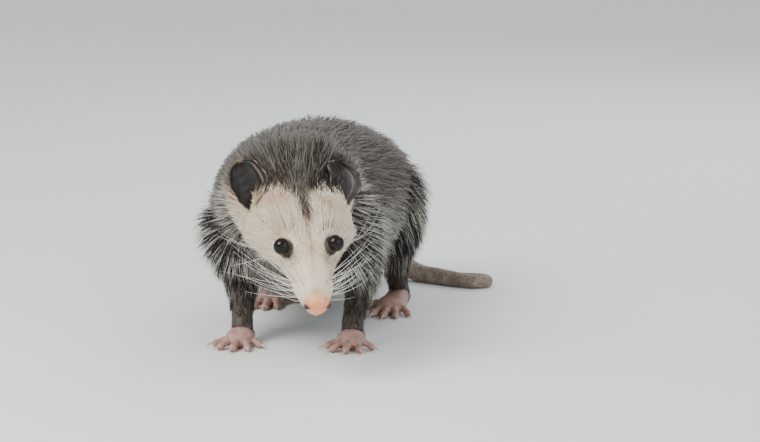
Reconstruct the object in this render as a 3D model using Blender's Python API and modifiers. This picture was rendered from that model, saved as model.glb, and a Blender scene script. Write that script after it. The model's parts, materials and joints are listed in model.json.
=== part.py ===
"""A Virginia opossum at life size, standing on four feet with its head lowered and turned to its left.

Metres, +Z up. The animal faces -Y, its left side is +X, and the floor is at z = 0. Tables of sections are in
millimetres and are turned to metres where a mesh is made. The origin is set last, under the middle of the whole.
"""

import math

import bmesh
import bpy
import numpy as np

MM = 0.001
GAP = 0.4
END_SHARE = 0.7
FLOOR_CUT = 60.0
SMALLEST_EDGE = 0.01
FLAT_ANGLE = 0.003

HEAD_LENGTH = 118.0
HEAD_YAW = 21.0
HEAD_PITCH = 38.0
HEAD_ROLL = 2.0
NOSE_TIP = np.array([57.0, -235.0, 58.0])

NOSE_END = 6.0
TORSO_START = 160.0
RUMP_END = 433.0
TAIL_CUTS = (482.0, 536.0, 590.0, 640.0)

EYE_BACK = 53.0
EYE_ANGLE = 47.0
EYE_RADIUS = 5.9
EYE_SINK = 2.6
LID_THICKNESS = 1.5

EYE_FORWARD = 0.35
LID_OPEN_LONG = 0.98
LID_OPEN_HIGH = 0.86

NOSTRIL_OUT = 7.4
NOSTRIL_UP = 2.2
NOSTRIL_RADII = np.array([2.2, 2.6, 1.7])

LIP_START = 12.0
LIP_END = 62.0
LIP_ANGLE = -34.0
LIP_RADIUS = 1.4

JAW_ROOF = 6.0
# Lower jaw sections: distance behind the nose, half width, depth below the head's axis.
JAW = (
    (10.0, 4.5, 11.6),
    (12.5, 7.4, 14.2),
    (18.0, 9.4, 16.0),
    (28.0, 11.6, 18.6),
    (40.0, 14.6, 22.0),
    (52.0, 18.0, 26.0),
    (64.0, 21.5, 29.6),
    (74.0, 22.5, 28.0),
    (80.0, 20.0, 22.0),
)

EAR_HALF_WIDTH = 13.5
EAR_THICKNESS = 1.3
EAR_BACK = 89.0
EAR_ANGLE = 32.0
EAR_CLEAR_ANGLE = 24.0
EAR_CLEAR_BACK = 17.0
# Each ear: length, then how far it points up, outwards and back, and the turn of its cup outwards in degrees.
EARS = {
    "ear_left": (40.0, 0.36, 0.42, 0.82, 34.0),
    "ear_right": (43.0, 0.79, 0.41, 0.46, 8.0),
}

SOLE_PRESS = 0.8

LOCK_THICKNESS = 4.0
LOCK_SINK = 5.0
LOCK_BEND = 1.8
LOCK_FALL = 0.2
HEAD_ROWS = (92.0, 108.0)
HEAD_LOCKS_ROUND = 9
HEAD_LOCK_LENGTH = 34.0
HEAD_LOCK_WIDTH = 22.0
NECK_ROWS = (123.0, 143.0)
NECK_LOCKS_ROUND = 10
NECK_LOCK_LENGTH = 46.0
NECK_LOCK_WIDTH = 26.0
TORSO_ROWS = (164.0, 200.0, 237.0, 274.0, 311.0, 348.0, 386.0)
TORSO_LOCKS_ROUND = 10
TORSO_LOCK_LENGTH = 64.0
TORSO_LOCK_WIDTH = 34.0

# Head sections: distance behind the nose tip, half width, height above the axis, depth below it, then the depth of
# the coat on top, at the sides and underneath, and the share of the coat that the solid core fills.
HEAD = (
    (0.0, 4.0, 3.2, 4.6, 0.0, 0.0, 0.0, 1.0),
    (1.6, 7.4, 5.4, 6.8, 0.0, 0.0, 0.0, 1.0),
    (5.0, 9.2, 6.6, 8.2, 0.2, 0.2, 0.2, 1.0),
    (10.0, 11.0, 7.8, 9.0, 0.8, 1.2, 0.8, 1.0),
    (20.0, 13.4, 10.2, 10.6, 1.4, 2.0, 1.2, 1.0),
    (32.0, 16.2, 12.6, 12.0, 2.0, 2.6, 1.6, 1.0),
    (44.0, 20.4, 15.4, 13.4, 2.6, 3.4, 2.0, 1.0),
    (55.0, 25.6, 18.0, 16.4, 3.6, 5.0, 4.0, 1.0),
    (68.0, 31.6, 20.8, 23.0, 4.8, 9.0, 7.0, 0.8),
    (82.0, 36.4, 23.2, 29.0, 6.5, 14.0, 10.0, 0.6),
    (95.0, 37.6, 25.0, 32.0, 9.0, 17.0, 12.0, 0.5),
    (108.0, 37.0, 27.0, 34.0, 12.0, 18.0, 13.0, 0.5),
    (118.0, 36.4, 29.0, 34.5, 15.0, 18.0, 14.0, 0.5),
)

# Trunk sections: centre x, y, z, the way the section faces as degrees to the left and down, then the same columns.
TRUNK = (
    (13.0, -127.0, 125.0, 15.0, 25.0, 38.0, 32.0, 36.0, 20.0, 20.0, 15.0, 0.45),
    (3.5, -101.0, 115.0, 8.0, 15.0, 44.0, 39.0, 46.0, 23.0, 22.0, 16.0, 0.42),
    (-2.0, -72.0, 107.0, 3.0, 8.0, 49.0, 44.0, 51.0, 24.0, 24.0, 17.0, 0.42),
    (-3.0, -30.0, 101.0, 0.0, 3.0, 54.0, 46.0, 52.0, 24.0, 25.0, 18.0, 0.42),
    (-1.5, 20.0, 97.0, 0.0, 1.0, 57.0, 46.0, 51.0, 24.0, 26.0, 20.0, 0.42),
    (0.0, 66.0, 93.0, 0.0, -3.0, 56.0, 42.0, 46.0, 23.0, 25.0, 20.0, 0.42),
    (0.0, 102.0, 88.0, 0.0, -9.0, 50.0, 39.0, 41.0, 23.0, 25.0, 18.0, 0.42),
    (0.0, 126.0, 84.0, 0.0, -17.0, 38.0, 31.0, 34.0, 22.0, 24.0, 16.0, 0.42),
    (0.0, 142.0, 78.0, 0.0, -27.0, 25.0, 22.0, 23.0, 17.0, 18.0, 12.0, 0.42),
    (1.0, 157.0, 70.0, -4.0, -40.0, 14.0, 14.0, 14.0, 9.0, 9.0, 7.0, 0.6),
)

# Tail sections: centre x, y, z, then the same columns.
TAIL_ROWS = (
    (5.0, 173.0, 54.0, 10.6, 10.4, 10.4, 2.5, 2.5, 2.5, 1.0),
    (13.0, 186.0, 34.0, 9.2, 9.2, 9.2, 0.5, 0.5, 0.5, 1.0),
    (28.0, 190.0, 17.0, 8.4, 8.4, 8.4, 0.0, 0.0, 0.0, 1.0),
    (48.0, 184.0, 7.6, 7.7, 7.7, 7.7, 0.0, 0.0, 0.0, 1.0),
    (69.0, 174.0, 6.7, 7.0, 7.0, 7.0, 0.0, 0.0, 0.0, 1.0),
    (88.0, 166.0, 6.0, 6.3, 6.3, 6.3, 0.0, 0.0, 0.0, 1.0),
    (101.0, 163.5, 5.5, 5.8, 5.8, 5.8, 0.0, 0.0, 0.0, 1.0),
    (109.0, 169.5, 5.0, 5.3, 5.3, 5.3, 0.0, 0.0, 0.0, 1.0),
    (105.5, 179.5, 4.6, 4.9, 4.9, 4.9, 0.0, 0.0, 0.0, 1.0),
    (92.0, 185.5, 4.2, 4.4, 4.4, 4.4, 0.0, 0.0, 0.0, 1.0),
    (74.0, 192.5, 3.5, 3.7, 3.7, 3.7, 0.0, 0.0, 0.0, 1.0),
    (56.0, 200.5, 2.8, 3.0, 3.0, 3.0, 0.0, 0.0, 0.0, 1.0),
    (41.0, 207.5, 2.1, 2.2, 2.2, 2.2, 0.0, 0.0, 0.0, 1.0),
)

# Relief on the head: distance behind the nose, angle above the widest line in degrees, height in millimetres, and
# how far the swelling or hollow spreads along and around the head.
RELIEF = (
    (18.0, -12.0, 1.5, 8.0, 24.0),
    (60.0, 62.0, 1.8, 8.0, 16.0),
    (44.0, 38.0, -1.5, 7.0, 16.0),
    (72.0, 4.0, 1.6, 12.0, 26.0),
    (88.0, 90.0, -1.5, 16.0, 16.0),
)

# Limb sections for the left side: x, y, z, half width, half depth fore and aft, coat, share of it in the core.
FORELIMB = (
    (33.0, -86.0, 104.0, 15.0, 20.0, 0.0, 0.5),
    (40.0, -82.0, 92.0, 20.0, 27.0, 2.0, 0.5),
    (46.0, -73.0, 74.0, 17.0, 23.0, 7.0, 0.4),
    (49.0, -64.0, 57.0, 12.5, 16.0, 8.0, 0.6),
    (49.0, -66.0, 43.0, 10.0, 12.0, 5.0, 1.0),
    (48.0, -75.0, 30.0, 8.4, 9.0, 3.5, 1.0),
    (47.0, -84.0, 18.0, 8.0, 7.4, 2.0, 1.0),
    (47.0, -88.0, 11.5, 8.6, 7.4, 1.0, 1.0),
)
HINDLIMB = (
    (30.0, 92.0, 104.0, 17.0, 22.0, 0.0, 0.5),
    (39.0, 84.0, 92.0, 23.0, 32.0, 2.0, 0.5),
    (48.0, 68.0, 74.0, 21.0, 28.0, 8.0, 0.4),
    (54.0, 56.0, 57.0, 15.0, 15.5, 5.0, 0.6),
    (54.0, 58.0, 43.0, 11.0, 11.5, 5.0, 1.0),
    (52.0, 70.0, 30.0, 8.6, 9.6, 3.5, 1.0),
    (50.0, 84.0, 18.0, 8.0, 8.2, 2.0, 1.0),
    (50.0, 86.0, 11.5, 8.4, 8.2, 1.0, 1.0),
)
ELBOW_STATION = 53.0
KNEE_STATION = 66.0

# Toes: where each leaves the sole (sideways outwards, forwards), the way it points in degrees outwards from straight
# ahead, its length and its root radius, all from the middle of the sole.
FORE_TOES = (
    (-7.5, 4.0, -52.0, 14.0, 3.0),
    (-5.0, 10.0, -20.0, 18.0, 3.2),
    (0.0, 12.0, 2.0, 19.0, 3.3),
    (5.0, 10.0, 24.0, 18.0, 3.2),
    (8.0, 4.0, 52.0, 15.0, 3.0),
)
HIND_TOES = (
    (-8.0, 18.0, -84.0, 17.0, 4.0),
    (-6.0, 33.0, -14.0, 20.0, 3.3),
    (-1.5, 37.0, 1.0, 21.0, 3.4),
    (3.5, 36.0, 16.0, 20.0, 3.3),
    (8.0, 31.0, 34.0, 17.0, 3.1),
)
CLAW_LENGTH = 6.5
# Soles: sideways, forwards from the wrist or ankle, half width, half height.
FORE_SOLE = (
    (0.0, -10.0, 3.5, 3.0),
    (0.0, -7.0, 7.5, 6.6),
    (0.0, 1.0, 10.2, 8.2),
    (0.0, 9.0, 11.0, 7.2),
    (0.0, 15.0, 7.5, 4.6),
)
HIND_SOLE = (
    (0.0, -10.0, 3.5, 3.0),
    (0.0, -7.0, 7.0, 7.0),
    (0.0, 3.0, 8.8, 8.6),
    (0.0, 18.0, 10.4, 7.8),
    (0.0, 32.0, 12.0, 7.0),
    (0.0, 40.0, 8.5, 4.6),
)
# How far each foot is set to the animal's left and forwards from the pattern of its limb.
STEP = {
    "foreleg_left": (5.0, 4.0),
    "foreleg_right": (13.0, 14.0),
    "hindleg_left": (4.0, 10.0),
    "hindleg_right": (0.0, -4.0),
}


def unit(v):
    """Vectors scaled to length one."""
    return v / np.linalg.norm(v, axis=-1, keepdims=True)


def read_curve(keys, at):
    """Rows of keys joined by one smooth curve; column 0 is the length along it, and at says where to read it."""
    x, y = keys[:, 0], keys[:, 1:]
    at = np.atleast_1d(np.asarray(at, float))
    step = np.diff(x)[:, None]
    slope = np.diff(y, axis=0) / step
    inner = (slope[1:] * step[:-1] + slope[:-1] * step[1:]) / (step[1:] + step[:-1])
    tangent = np.vstack([slope[:1], inner, slope[-1:]])
    i = np.clip(np.searchsorted(x, at) - 1, 0, len(x) - 2)
    t = ((at - x[i]) / step[i, 0])[:, None]
    h = step[i]
    start = (2 * t**3 - 3 * t**2 + 1) * y[i] + (t**3 - 2 * t**2 + t) * h * tangent[i]
    return start + (3 * t**2 - 2 * t**3) * y[i + 1] + (t**3 - t**2) * h * tangent[i + 1]


def facing(yaw, pitch):
    """The direction that many degrees to the left of straight ahead and down."""
    yaw, pitch = math.radians(yaw), math.radians(pitch)
    return np.array([math.cos(pitch) * math.sin(yaw), -math.cos(pitch) * math.cos(yaw), -math.sin(pitch)])


def head_axes():
    """Forward, left and up for the head."""
    forward, roll = facing(HEAD_YAW, HEAD_PITCH), math.radians(HEAD_ROLL)
    level = unit(np.cross([0.0, 0.0, 1.0], forward))
    left = level * math.cos(roll) + np.cross(forward, level) * math.sin(roll)
    return forward, left, np.cross(forward, left)


def spine_keys():
    """Every section from the nose tip to the tail tip: length along the middle line, place, sizes and facing."""
    forward = head_axes()[0]
    rows = [[*(NOSE_TIP - row[0] * forward), *row[1:], *forward] for row in HEAD]
    rows += [[*row[:3], *row[5:], *facing(row[3], row[4])] for row in TRUNK]
    path = np.array([row[:3] for row in TRUNK[-1:] + TAIL_ROWS])
    ways = unit(-np.gradient(path, axis=0))
    rows += [[*row, *way] for row, way in zip(TAIL_ROWS, ways[1:])]
    rows = np.array(rows)
    along = np.concatenate([[0.0], np.cumsum(np.linalg.norm(np.diff(rows[:, :3], axis=0), axis=1))])
    return np.column_stack([along, rows])


SPINE = spine_keys()
SPINE_LENGTH = SPINE[-1, 0]


def spine_axes(s):
    """Forward, left and up at each place along the spine; the head's roll fades out over the neck."""
    forward = unit(read_curve(SPINE, s)[:, -3:])
    left = unit(np.cross([0.0, 0.0, 1.0], forward))
    up = np.cross(forward, left)
    fade = np.clip((TORSO_START - s) / (TORSO_START - HEAD_LENGTH), 0, 1)
    roll = np.radians(HEAD_ROLL * fade)[:, None]
    left = left * np.cos(roll) + up * np.sin(roll)
    return forward, left, np.cross(forward, left)


def relief(s, angle):
    """How far the brow, cheeks, whisker pads and hollows lift the head's surface."""
    degrees = np.degrees(np.arctan2(np.sin(angle), np.abs(np.cos(angle))))
    total = np.zeros(np.broadcast(s, angle).shape)
    for back, place, height, spread, turn in RELIEF:
        total = total + height * np.exp(-(((s - back) / spread) ** 2) - ((degrees - place) / turn) ** 2)
    return total


def body_surface(s, angle, extra=0.0, share=None):
    """Points of the trunk's surface at lengths s and angles measured from the animal's left, upwards positive."""
    s, angle = np.broadcast_arrays(np.asarray(s, float), np.asarray(angle, float))
    shape = s.shape
    s, angle = s.ravel(), angle.ravel()
    row = read_curve(SPINE, s)
    _, left, up = spine_axes(s)
    filled = row[:, 9] if share is None else np.full(len(s), share)
    width = row[:, 3] + filled * row[:, 7] + extra
    above = row[:, 4] + filled * row[:, 6] + extra
    below = row[:, 5] + filled * row[:, 8] + extra
    height = np.where(np.sin(angle) >= 0, above, below)
    lift = relief(s, angle)
    across = (width + lift) * np.cos(angle)
    over = (height + lift) * np.sin(angle)
    points = row[:, :3] + left * across[:, None] + up * over[:, None]
    return points.reshape(*shape, 3)


def body_normal(s, angle):
    """Outward directions at those places."""
    along = body_surface(s + 1.0, angle) - body_surface(s - 1.0, angle)
    around = body_surface(s, angle + 0.02) - body_surface(s, angle - 0.02)
    return unit(np.cross(around, along))


def mesh_object(name, points, faces, material):
    """An object in the scene from points in millimetres."""
    mesh = bpy.data.meshes.new(name)
    mesh.from_pydata([tuple(p * MM) for p in points], [], faces)
    bm = bmesh.new()
    bm.from_mesh(mesh)
    bmesh.ops.recalc_face_normals(bm, faces=bm.faces)
    bm.to_mesh(mesh)
    bm.free()
    mesh.materials.append(material)
    made = bpy.data.objects.new(name, mesh)
    ANIMAL.objects.link(made)
    return made


def loft(name, rings, material, tip=None):
    """A closed body through rings of points, with flat ends, or drawn to a tip at the far one."""
    count, sides = len(rings), len(rings[0])
    points = [p for ring in rings for p in ring]
    faces = [tuple(range(sides))]
    for i in range(count - 1):
        for j in range(sides):
            k = (j + 1) % sides
            near, far = i * sides, (i + 1) * sides
            faces.append((near + j, near + k, far + k))
            faces.append((near + j, far + k, far + j))
    last = (count - 1) * sides
    if tip is None:
        faces.append(tuple(range(last, last + sides)))
    else:
        points.append(tip)
        faces += [(last + j, last + (j + 1) % sides, len(points) - 1) for j in range(sides)]
    return mesh_object(name, points, faces, material)


def body_length(name, start, end, step, sides, material, extra=0.0):
    """One length of the nose, head, trunk or tail; its front face stands a gap behind the length before it."""
    stations = np.linspace(start, end, max(2, round((end - start) / step) + 1))
    angles = np.linspace(0, 2 * math.pi, sides, endpoint=False)
    rings = [body_surface(np.full(sides, s), angles, extra) for s in stations]
    ways = spine_axes(stations)[0]
    if start > 0:
        rings[0] = rings[0] - ways[0] * GAP
    if extra > 0:
        reach = extra * END_SHARE
        rings = [rings[0] + ways[0] * reach, *rings, rings[-1] - ways[-1] * reach]
    return loft(name, rings, material)


def tube(name, centres, widths, depths, sides, side_hint, material):
    """A sole, toe, claw or lip: oval rings along a path, widths across side_hint and depths across the rest."""
    centres = np.asarray(centres, float)
    along = unit(np.gradient(centres, axis=0))
    side = unit(side_hint - along * (along @ side_hint)[:, None])
    other = np.cross(along, side)
    angles = np.linspace(0, 2 * math.pi, sides, endpoint=False)
    rings = []
    for c, a, b, w, d in zip(centres, side, other, widths, depths):
        rings.append([c + a * (w * math.cos(t)) + b * (d * math.sin(t)) for t in angles])
    return loft(name, rings, material)


def ellipsoid(name, centre, radii, segments, material):
    """A closed oval body."""
    bm = bmesh.new()
    bmesh.ops.create_uvsphere(bm, u_segments=segments, v_segments=segments * 5 // 8, radius=1.0)
    for v in bm.verts:
        v.co = tuple((np.array(v.co) * radii + centre) * MM)
    mesh = bpy.data.meshes.new(name)
    bm.to_mesh(mesh)
    bm.free()
    mesh.materials.append(material)
    made = bpy.data.objects.new(name, mesh)
    ANIMAL.objects.link(made)
    return made


def largest_surface(mesh):
    """Leaves only the largest closed surface of a mesh."""
    bm = bmesh.new()
    bm.from_mesh(mesh)
    left = set(bm.verts)
    groups = []
    while left:
        group, edge = set(), [left.pop()]
        while edge:
            v = edge.pop()
            group.add(v)
            for e in v.link_edges:
                other = e.other_vert(v)
                if other in left:
                    left.remove(other)
                    edge.append(other)
        groups.append(group)
    groups.sort(key=len)
    for group in groups[:-1]:
        bmesh.ops.delete(bm, geom=list(group), context="VERTS")
    bm.to_mesh(mesh)
    bm.free()


def combine(target, others, operation, whole=False):
    """Joins others to target, or cuts them from it, in one Boolean, then removes them."""
    bits = bpy.data.collections.new(target.name + "_bits")
    bpy.context.scene.collection.children.link(bits)
    for o in others:
        for home in list(o.users_collection):
            home.objects.unlink(o)
        bits.objects.link(o)
    step = target.modifiers.new("combine", "BOOLEAN")
    step.operation = operation
    step.operand_type = "COLLECTION"
    step.collection = bits
    step.solver = "MANIFOLD"
    graph = bpy.context.evaluated_depsgraph_get()
    made = bpy.data.meshes.new_from_object(target.evaluated_get(graph))
    target.modifiers.clear()
    target.data = made
    for o in list(bits.objects):
        bpy.data.objects.remove(o)
    bpy.data.collections.remove(bits)
    if not whole:
        largest_surface(made)
    return target


def finish(name, colour, roughness):
    """A plain painted finish for one kind of surface."""
    made = bpy.data.materials.new(name)
    made.use_nodes = True
    shader = made.node_tree.nodes["Principled BSDF"]
    shader.inputs["Base Color"].default_value = (*colour, 1.0)
    shader.inputs["Roughness"].default_value = roughness
    shader.inputs["Metallic"].default_value = 0.0
    made.diffuse_color = (*colour, 1.0)
    return made


def floor_block():
    """What lies under the floor; it cuts flats on whatever stands or lies there."""
    bpy.ops.mesh.primitive_cube_add(size=1.0)
    block = bpy.context.object
    block.scale = (2.0, 2.0, FLOOR_CUT * MM)
    block.location = (0.0, 0.0, -FLOOR_CUT * MM / 2)
    bpy.ops.object.transform_apply(location=True, rotation=True, scale=True)
    return block


def body_depth(s, angle):
    """How far the coat stands above the core at places on the trunk."""
    row = read_curve(SPINE, s)
    over = np.where(np.sin(angle) > 0, row[:, 6], row[:, 8])
    return (over * np.sin(angle) ** 2 + row[:, 7] * np.cos(angle) ** 2) * (1 - row[:, 9])


def lock(surface, depth, root, extra):
    """One flat, tapered lock: it leaves the core, rises to the full depth of the coat and lies along the surface."""
    s, angle, length, width, turn = root
    t = np.array([0.0, 0.28, 0.66, 1.0])
    places, angles = s + length * t, angle + turn * t
    centres = surface(places, angles)
    along = unit(np.gradient(centres, axis=0))
    out = unit(np.cross(surface(places, angles + 0.03) - surface(places, angles - 0.03), along))
    middle = surface(places, angles + math.pi)
    out = np.where(((centres - middle) * out).sum(axis=1, keepdims=True) > 0, out, -out)
    rise = depth(places, angles) * (1 - (1 - t) ** LOCK_BEND)
    rise[0] = -LOCK_SINK
    centres = centres + out * rise[:, None]
    along = unit(np.gradient(centres, axis=0))
    side = unit(np.cross(out, along))
    over = np.cross(along, side)
    widths = width * np.array([0.7, 1.0, 0.7]) / 2 + extra
    heights = LOCK_THICKNESS * np.array([1.0, 1.0, 0.75]) / 2 + extra
    rings = []
    for c, a, b, w, h in zip(centres, side, over, widths, heights):
        rings.append([c + a * w, c + b * h, c - a * w, c - b * h])
    if extra > 0:
        rings[0] = [p - along[0] * extra for p in rings[0]]
    return rings, centres[-1] + along[-1] * extra * 2


def locks(surface, depth, roots, material, extra=0.0):
    """All the locks of one node, joined in one mesh object, or the space that they take."""
    made = []
    for root in roots:
        rings, tip = lock(surface, depth, root, extra)
        made.append(loft("lock", rings, material, tip))
    return combine(made[0], made[1:], "UNION", whole=True)


def coat_roots(rng, places, count, length, width, turned=0.0):
    """Roots in staggered rows around the trunk, with the small differences of a real coat."""
    roots = []
    for i, place in enumerate(places):
        for j in range(count):
            share = (j + 0.5 * (i % 2) + rng.uniform(-0.1, 0.1)) / count
            angle = math.radians(360.0 * share + turned)
            s = place + rng.uniform(-3.0, 3.0)
            long = length * rng.uniform(0.9, 1.1)
            fall = -LOCK_FALL * math.copysign(1.0, math.cos(angle)) * (1 - math.sin(angle) ** 4)
            roots.append((s, angle, long, width * rng.uniform(0.94, 1.06), fall + rng.uniform(-0.04, 0.04)))
    return roots


def read_head(back, across, up):
    """A point in the head: back from the nose tip, towards the animal's left, and up from the head's axis."""
    forward, left, top = head_axes()
    return NOSE_TIP - back * forward + across * left + up * top


def nostril_cutter(side):
    """The oval opening of one nostril."""
    return ellipsoid("nostril", read_head(2.6, side * NOSTRIL_OUT, NOSTRIL_UP), NOSTRIL_RADII, 8, SKIN)


def eye_place(side):
    """Middle of an eyeball and the way that the eye looks."""
    angle = math.radians(EYE_ANGLE if side > 0 else 180 - EYE_ANGLE)
    s, a = np.array([EYE_BACK]), np.array([angle])
    out = body_normal(s, a)[0]
    forward = head_axes()[0]
    look = unit(out + EYE_FORWARD * forward)
    return body_surface(s, a)[0] - out * EYE_SINK, look


def eyeball(name, side, extra=0.0):
    """An eye, or the space that it takes in the head."""
    centre, _ = eye_place(side)
    return ellipsoid(name, centre, EYE_RADIUS + extra, 12, EYE)


def lid_ring(side):
    """The two lids as one almond-shaped rim that hugs the eyeball."""
    centre, look = eye_place(side)
    forward, _, top = head_axes()
    along = unit(forward - look * (forward @ look))
    over = unit(np.cross(along, look))
    over = over if over @ top > 0 else -over
    rings = []
    count = 16
    for i in range(count):
        t = 2 * math.pi * i / count
        spread = EYE_RADIUS * (LID_OPEN_LONG * abs(math.cos(t)) ** 1.3 + LID_OPEN_HIGH * (1 - abs(math.cos(t)) ** 1.3))
        outward = unit(along * math.cos(t) + over * math.sin(t))
        height = math.sqrt(max(EYE_RADIUS**2 - spread**2, 0.0))
        middle = centre + look * height + outward * spread
        ring_out = unit(middle - centre)
        around = unit(np.cross(outward, look))
        across = np.cross(ring_out, around)
        ring = []
        for k in range(5):
            q = 2 * math.pi * k / 5
            ring.append(middle + across * (LID_THICKNESS * 1.2 * math.cos(q)) + ring_out * (LID_THICKNESS * math.sin(q)))
        rings.append(ring)
    points = [p for ring in rings for p in ring]
    faces = []
    for i in range(count):
        for k in range(5):
            m, n = (i + 1) % count, (k + 1) % 5
            faces.append((i * 5 + k, m * 5 + k, m * 5 + n, i * 5 + n))
    return mesh_object("lids", points, faces, FACE)


def lip(side, extra=0.0):
    """The rolled edge of the upper lip on one side."""
    stations = np.linspace(LIP_START, LIP_END, 9)
    angles = np.radians(np.linspace(-58.0, LIP_ANGLE, 9))
    angles = angles if side > 0 else math.pi - angles
    centres = body_surface(stations, angles, -0.4)
    thick = LIP_RADIUS * np.sin(np.linspace(0.55, 2.6, 9)) + extra
    return tube("lip", centres, thick, thick, 6, head_axes()[1], FACE)


def near_ear(root):
    """Whether a lock would grow through an ear."""
    away = abs(math.degrees(math.atan2(math.sin(root[1]), abs(math.cos(root[1])))) - EAR_ANGLE)
    return away < EAR_CLEAR_ANGLE and abs(root[0] - EAR_BACK) < EAR_CLEAR_BACK


def head_body(name, extra=0.0):
    """The head from behind the nose to the neck, with its lips, or the space that they take."""
    made = body_length(name, NOSE_END, HEAD_LENGTH, 7.6, 26, FACE, extra)
    return combine(made, [lip(1, extra), lip(-1, extra)], "UNION")


def jaw():
    """The lower jaw, tucked under the upper lip."""
    _, left, top = head_axes()
    rings = []
    for back, half_width, bottom in JAW:
        roof = -JAW_ROOF
        middle, half = (roof - bottom) / 2, (bottom + roof) / 2
        centre = read_head(back, 0.0, middle)
        turns = np.linspace(0, 2 * math.pi, 14, endpoint=False)
        rings.append([centre + left * (half_width * math.cos(t)) + top * (half * math.sin(t)) for t in turns])
    return loft("lower_jaw", rings, FACE)


def ear(name, side, extra=0.0):
    """One thin, cupped, paddle-shaped ear, open to the front, or the space that it takes."""
    forward, left, top = head_axes()
    out = left * side
    length, upwards, outwards, back, turn = EARS["ear_left" if side > 0 else "ear_right"]
    axis = unit(upwards * top + outwards * out - back * forward)
    face = (forward + 0.6 * top) * math.cos(math.radians(turn)) + out * math.sin(math.radians(turn))
    face = unit(face - axis * (face @ axis))
    across = np.cross(face, axis)
    angle = math.radians(EAR_ANGLE if side > 0 else 180 - EAR_ANGLE)
    base = body_surface(np.array([EAR_BACK]), np.array([angle]), 0.0, 0.0)[0]
    bm = bmesh.new()
    bmesh.ops.create_grid(bm, x_segments=7, y_segments=7, size=1.0)
    for v in bm.verts:
        u, w = (v.co.y + 1) / 2, v.co.x
        half = EAR_HALF_WIDTH * math.sin(math.pi * (0.17 + 0.815 * u)) ** 0.62 + extra
        spread = math.radians(78.0 - 40.0 * u)
        sideways = half * math.sin(w * spread) / math.sin(spread)
        sunk = -half * (math.cos(w * spread) - math.cos(spread)) / math.sin(spread) - 5.0 * u * u
        point = base + axis * ((length + extra) * (1.1 * u - 0.1)) + across * sideways + face * sunk
        v.co = tuple(point * MM)
    mesh = bpy.data.meshes.new(name)
    bm.to_mesh(mesh)
    bm.free()
    mesh.materials.append(EAR)
    made = bpy.data.objects.new(name, mesh)
    ANIMAL.objects.link(made)
    wall = made.modifiers.new("wall", "SOLIDIFY")
    wall.thickness = (EAR_THICKNESS + 2 * extra) * MM
    wall.offset = 0.0
    return made


def limb_curve(rows, name, side):
    """A limb's sections with the length along it in front, mirrored for the right side and set in its step."""
    rows = np.array(rows)
    share = np.clip((rows[0, 2] - rows[:, 2]) / (rows[0, 2] - rows[-1, 2]), 0, 1)
    rows[:, 0] = rows[:, 0] * side + STEP[name][0] * share
    rows[:, 1] -= STEP[name][1] * share
    along = np.concatenate([[0.0], np.cumsum(np.linalg.norm(np.diff(rows[:, :3], axis=0), axis=1))])
    return np.column_stack([along, rows])


def limb_surface(keys, s, angle, extra=0.0, share=None):
    """Points of a limb's surface at lengths s and angles measured from the animal's left, forwards positive."""
    s, angle = np.broadcast_arrays(np.asarray(s, float), np.asarray(angle, float))
    shape = s.shape
    s, angle = s.ravel(), angle.ravel()
    row = read_curve(keys, s)
    ahead = read_curve(keys, np.clip(s + 1.0, 0, keys[-1, 0]))[:, :3]
    behind = read_curve(keys, np.clip(s - 1.0, 0, keys[-1, 0]))[:, :3]
    along = unit(ahead - behind)
    side = unit(np.array([1.0, 0.0, 0.0]) - along * along[:, :1])
    other = np.cross(along, side)
    filled = row[:, 6] if share is None else np.full(len(s), share)
    across = (row[:, 3] + filled * row[:, 5] + extra) * np.cos(angle)
    over = (row[:, 4] + filled * row[:, 5] + extra) * np.sin(angle)
    return (row[:, :3] + side * across[:, None] + other * over[:, None]).reshape(*shape, 3)


def limb_length(name, keys, start, end, step, sides, extra=0.0):
    """One length of a limb between two places along it; its upper face stands a gap below the length above."""
    stations = np.linspace(start, end, max(2, round((end - start) / step) + 1))
    angles = np.linspace(0, 2 * math.pi, sides, endpoint=False)
    rings = [limb_surface(keys, np.full(sides, s), angles, extra) for s in stations]
    if start > 0:
        rings[0] = rings[0] + unit(np.mean(rings[1], axis=0) - np.mean(rings[0], axis=0)) * GAP
    if extra > 0:
        way = unit(np.mean(rings[-1], axis=0) - np.mean(rings[-2], axis=0))
        rings.append(rings[-1] + way * extra * END_SHARE)
    return loft(name, rings, LEG)


def sole_body(name, rows, where, side, extra=0.0):
    """The palm or sole, a flattened loft along the foot."""
    rows = np.array(rows)
    centres = np.column_stack([
        np.full(len(rows), where[0]) + side * rows[:, 0],
        where[1] - rows[:, 1],
        rows[:, 3] - SOLE_PRESS,
    ])
    return tube(name, centres, rows[:, 2] + extra, rows[:, 3] + extra, 10, np.array([1.0, 0.0, 0.0]), FOOT)


def toe(where, side, row, claw):
    """One toe with its claw, spread out from the sole."""
    across, ahead, turn, length, radius = row
    turn = math.radians(turn)
    way = np.array([side * math.sin(turn), -math.cos(turn), 0.0])
    root = np.array([where[0] + side * across, where[1] - ahead, 0.0])
    t = np.array([-0.12, 0.4, 0.9, 1.0])
    thick = radius * np.array([1.0, 0.9, 0.84, 0.5])
    lift = np.array([5.0, 5.0, 2.6, 2.4])
    centres = root + way * (t * length)[:, None]
    centres[:, 2] = np.maximum(lift, thick - SOLE_PRESS / 2)
    hint = np.cross(way, [0.0, 0.0, 1.0])
    made = [tube("toe", centres, thick, thick, 5, hint, FOOT)]
    if claw:
        q = np.array([0.0, 0.5, 1.0])
        path = centres[-2] + way * (q * (CLAW_LENGTH + 2.0))[:, None]
        path[:, 2] = 3.0 - 2.1 * q**2
        size = np.array([1.25, 0.95, 0.25])
        made.append(tube("claw", path, size * 0.8, size, 4, hint, FOOT))
    return made


def foot(name, rows, toes, where, side, clawless=()):
    """A whole foot, flat where it stands on the floor."""
    bits = []
    for i, row in enumerate(toes):
        bits += toe(where, side, row, i not in clawless)
    made = sole_body(name, rows, where, side)
    combine(made, bits, "UNION")
    return combine(made, [floor_block()], "DIFFERENCE")


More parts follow.
